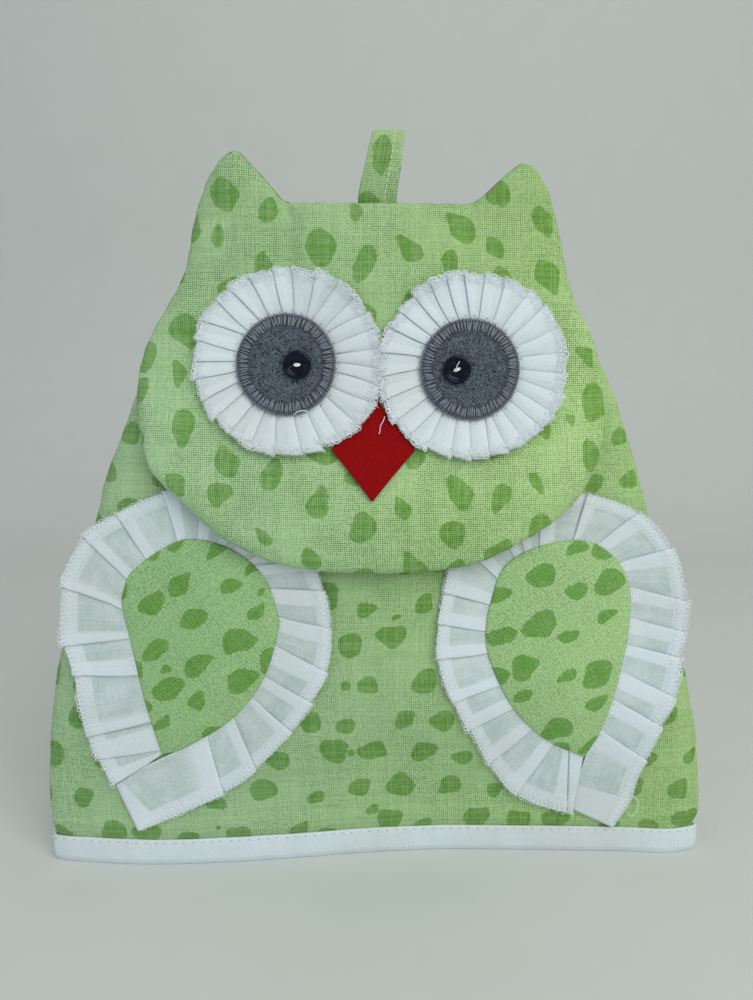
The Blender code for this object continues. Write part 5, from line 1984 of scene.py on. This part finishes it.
@dataclass
class HangingLoop(Maker):
    """The folded strip at the top, sewn together along one edge."""

    z: Row = (281.5, 290.0, 297.0, 307.0, 316.0, 321.6, 324.3)
    half: Row = (1.15, 1.15, 2.3, 4.0, 4.0, 2.6, 0.0)
    lean: Row = (0.0, 0.0, 0.0, 1.6, 3.4, 4.4, 4.8)
    wide: Row = (16.6, 16.6, 16.4, 15.6, 14.6, 13.9, 13.6)
    thick: float = 1.5

    def build(self) -> None:
        """Make the loop and its row of stitches."""
        rows = list(zip(self.half, self.z, self.lean, self.wide))
        path = np.array([(-h, z, lean, wide) for h, z, lean, wide in rows]
                        + [(h, z, lean, wide) for h, z, lean, wide in reversed(rows[:-1])])
        run = run_of(path[:, :2])
        at = np.linspace(0, run[-1], 90)
        fine = np.column_stack([track(run, path[:, i], at) for i in range(4)])
        way = unit(np.gradient(fine[:, :2], axis=0))
        out = np.column_stack([-way[:, 1], way[:, 0]])
        across = np.concatenate([[-0.5, -0.485], np.linspace(-0.45, 0.45, 19), [0.485, 0.5]])
        edge = np.sqrt(np.clip(1 - (np.abs(across) / 0.5) ** 14, 0, 1)) * 0.65 + 0.35
        # The seam stands up as a ridge with a groove beside it.
        ridge = 0.22 * np.exp(-((across - 0.17) / 0.03) ** 2) - 0.25 * np.exp(-((across - 0.215) / 0.02) ** 2)
        sides = []
        for face in (1, -1):
            grid = []
            for (y, z, lean, wide), n in zip(fine, out):
                puff = (self.thick / 2) * edge + (ridge if face > 0 else 0.0)
                bow = 0.35 * math.sin(z * 0.35)
                x = self.shapes.body.loop_x + lean + wide * across + bow * 0.3
                grid.append(np.column_stack([x, y + face * n[0] * puff, z + face * n[1] * puff]))
            sides.append(np.array(grid))
        points, faces = shell(sides[0], sides[1])
        u = self.shapes.body.loop_x + np.broadcast_to(across[None, :] * 16.0, (len(at), len(across)))
        v = np.broadcast_to(at[:, None], u.shape)
        uv = np.stack([u + 385.0, v + 36.0], -1).reshape(-1, 2)
        mesh = ClothMesh(points, faces, np.vstack([uv, uv]))
        piece = mesh.to_object("hanging_loop_strip", self.finishes.print_cloth)
        hand_over(piece, "hanging_loop")
        self.sew(sides[0][:, int(np.argmin(np.abs(across - 0.19)))])

    def sew(self, line: Array) -> None:
        """Sew the row of stitches all round the loop.

        Args:
            line: the points that it follows.
        """
        far = run_of(line)
        at = np.arange(9.0, far[-1] - 9.0, 2.3)
        here, ahead = read_line(at, far, line), read_line(at + 1.0, far, line)
        way = unit(ahead - here)
        face = unit(np.cross(np.array([1.0, 0.0, 0.0]), way))
        face[np.einsum("ij,ij->i", face, here - np.array([0.0, 0.0, 303.0])) < 0] *= -1
        seam = Repeats()
        seam.add(here + face * 0.1, way, face, np.array([1.05, 0.27, 0.22]))
        seam.sew(self.stitches, "hanging_loop_seam_stitches", self.finishes.pale_thread,
                 "green_cotton")


class Studio:
    """The pale floor and backdrop, the soft lights and the camera."""

    def build(self) -> None:
        """Set up everything that isn't part of the object."""
        self.floor()
        self.lights()
        self.camera()

    def floor(self) -> None:
        """Make the floor with its curved back wall."""
        paint = StudioPaint("studio_floor", "#D3D9D6").build()
        rows = [(-2.5, 0.0), (0.55, 0.0)]
        for t in np.linspace(0.1, math.pi / 2, 14):
            rows.append((0.55 + 0.45 * math.sin(t), 0.45 - 0.45 * math.cos(t)))
        rows.append((1.0, 3.0))
        verts = [(x, y, z) for y, z in rows for x in (-3.0, 3.0)]
        faces = [(2 * i, 2 * i + 1, 2 * i + 3, 2 * i + 2) for i in range(len(rows) - 1)]
        mesh = bpy.data.meshes.new("studio_floor")
        mesh.from_pydata(verts, [], faces)
        mesh.polygons.foreach_set("use_smooth", [True] * len(mesh.polygons))
        mesh.materials.append(paint)
        add_object("studio_floor", mesh)

    def lights(self) -> None:
        """Hang a broad daylight panel at the upper right, a weak cool fill at the left and one overhead."""
        world = bpy.data.worlds.new("soft_daylight")
        world.use_nodes = True
        back = world.node_tree.nodes["Background"]
        back.inputs["Color"].default_value = linear("#EDF2F6")
        back.inputs["Strength"].default_value = 0.39
        bpy.context.scene.world = world
        for name, place, aim, size, power, code in (
                ("window_light", (0.7, -1.1, 1.15), (0.0, 0.0, 0.12), 1.3, 15.6, "#FFFBF4"),
                ("cool_fill", (-1.1, -0.8, 0.6), (0.0, 0.0, 0.15), 0.9, 2.2, "#E0ECFF"),
                ("top_light", (-0.1, 0.1, 1.6), (0.0, 0.1, 0.1), 1.2, 2.2, "#FFF9EE")):
            lamp = bpy.data.lights.new(name, "AREA")
            lamp.shape, lamp.size, lamp.energy, lamp.color = "SQUARE", size, power, linear(code)[:3]
            thing = add_object(name, lamp)
            thing.location = place
            thing.rotation_euler = (Vector(aim) - Vector(place)).to_track_quat("-Z", "Y").to_euler()
        bpy.context.scene.view_settings.view_transform = "Standard"

    def camera(self) -> None:
        """Stand the camera where the photograph was taken from."""
        lens = bpy.data.cameras.new("camera")
        lens.sensor_fit, lens.sensor_width, lens.sensor_height = "VERTICAL", 27.1, 36.0
        lens.lens = 752.0 / 1000.0 * 36.0
        lens.clip_start = 0.01
        eye = add_object("camera", lens)
        eye.location = (-0.0002, -0.332886, 0.2267)
        eye.rotation_euler = (math.radians(80.0), 0.0, 0.0)
        bpy.context.scene.camera = eye


def main() -> None:
    """Build the cosy's looks piece by piece."""
    logging.basicConfig(level=logging.INFO, format="%(name)s: %(message)s")
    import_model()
    kit = (Shapes(), Finishes.make(), {notion: StitchRun(notion) for notion in Notion})
    panels = BodyPanels(*kit)
    panels.build("body_front", -1)
    panels.build("body_back", 1)
    HemBinding(*kit).build()
    Head(*kit).build()
    HangingLoop(*kit).build()
    for draft in (LEFT_WING, RIGHT_WING):
        Wing(*kit, draft).build()
    for draft in (LEFT_EYE, RIGHT_EYE):
        Eye(*kit, draft).build()
    Beak(*kit).build()
    Studio().build()


if __name__ == "__main__":
    main()
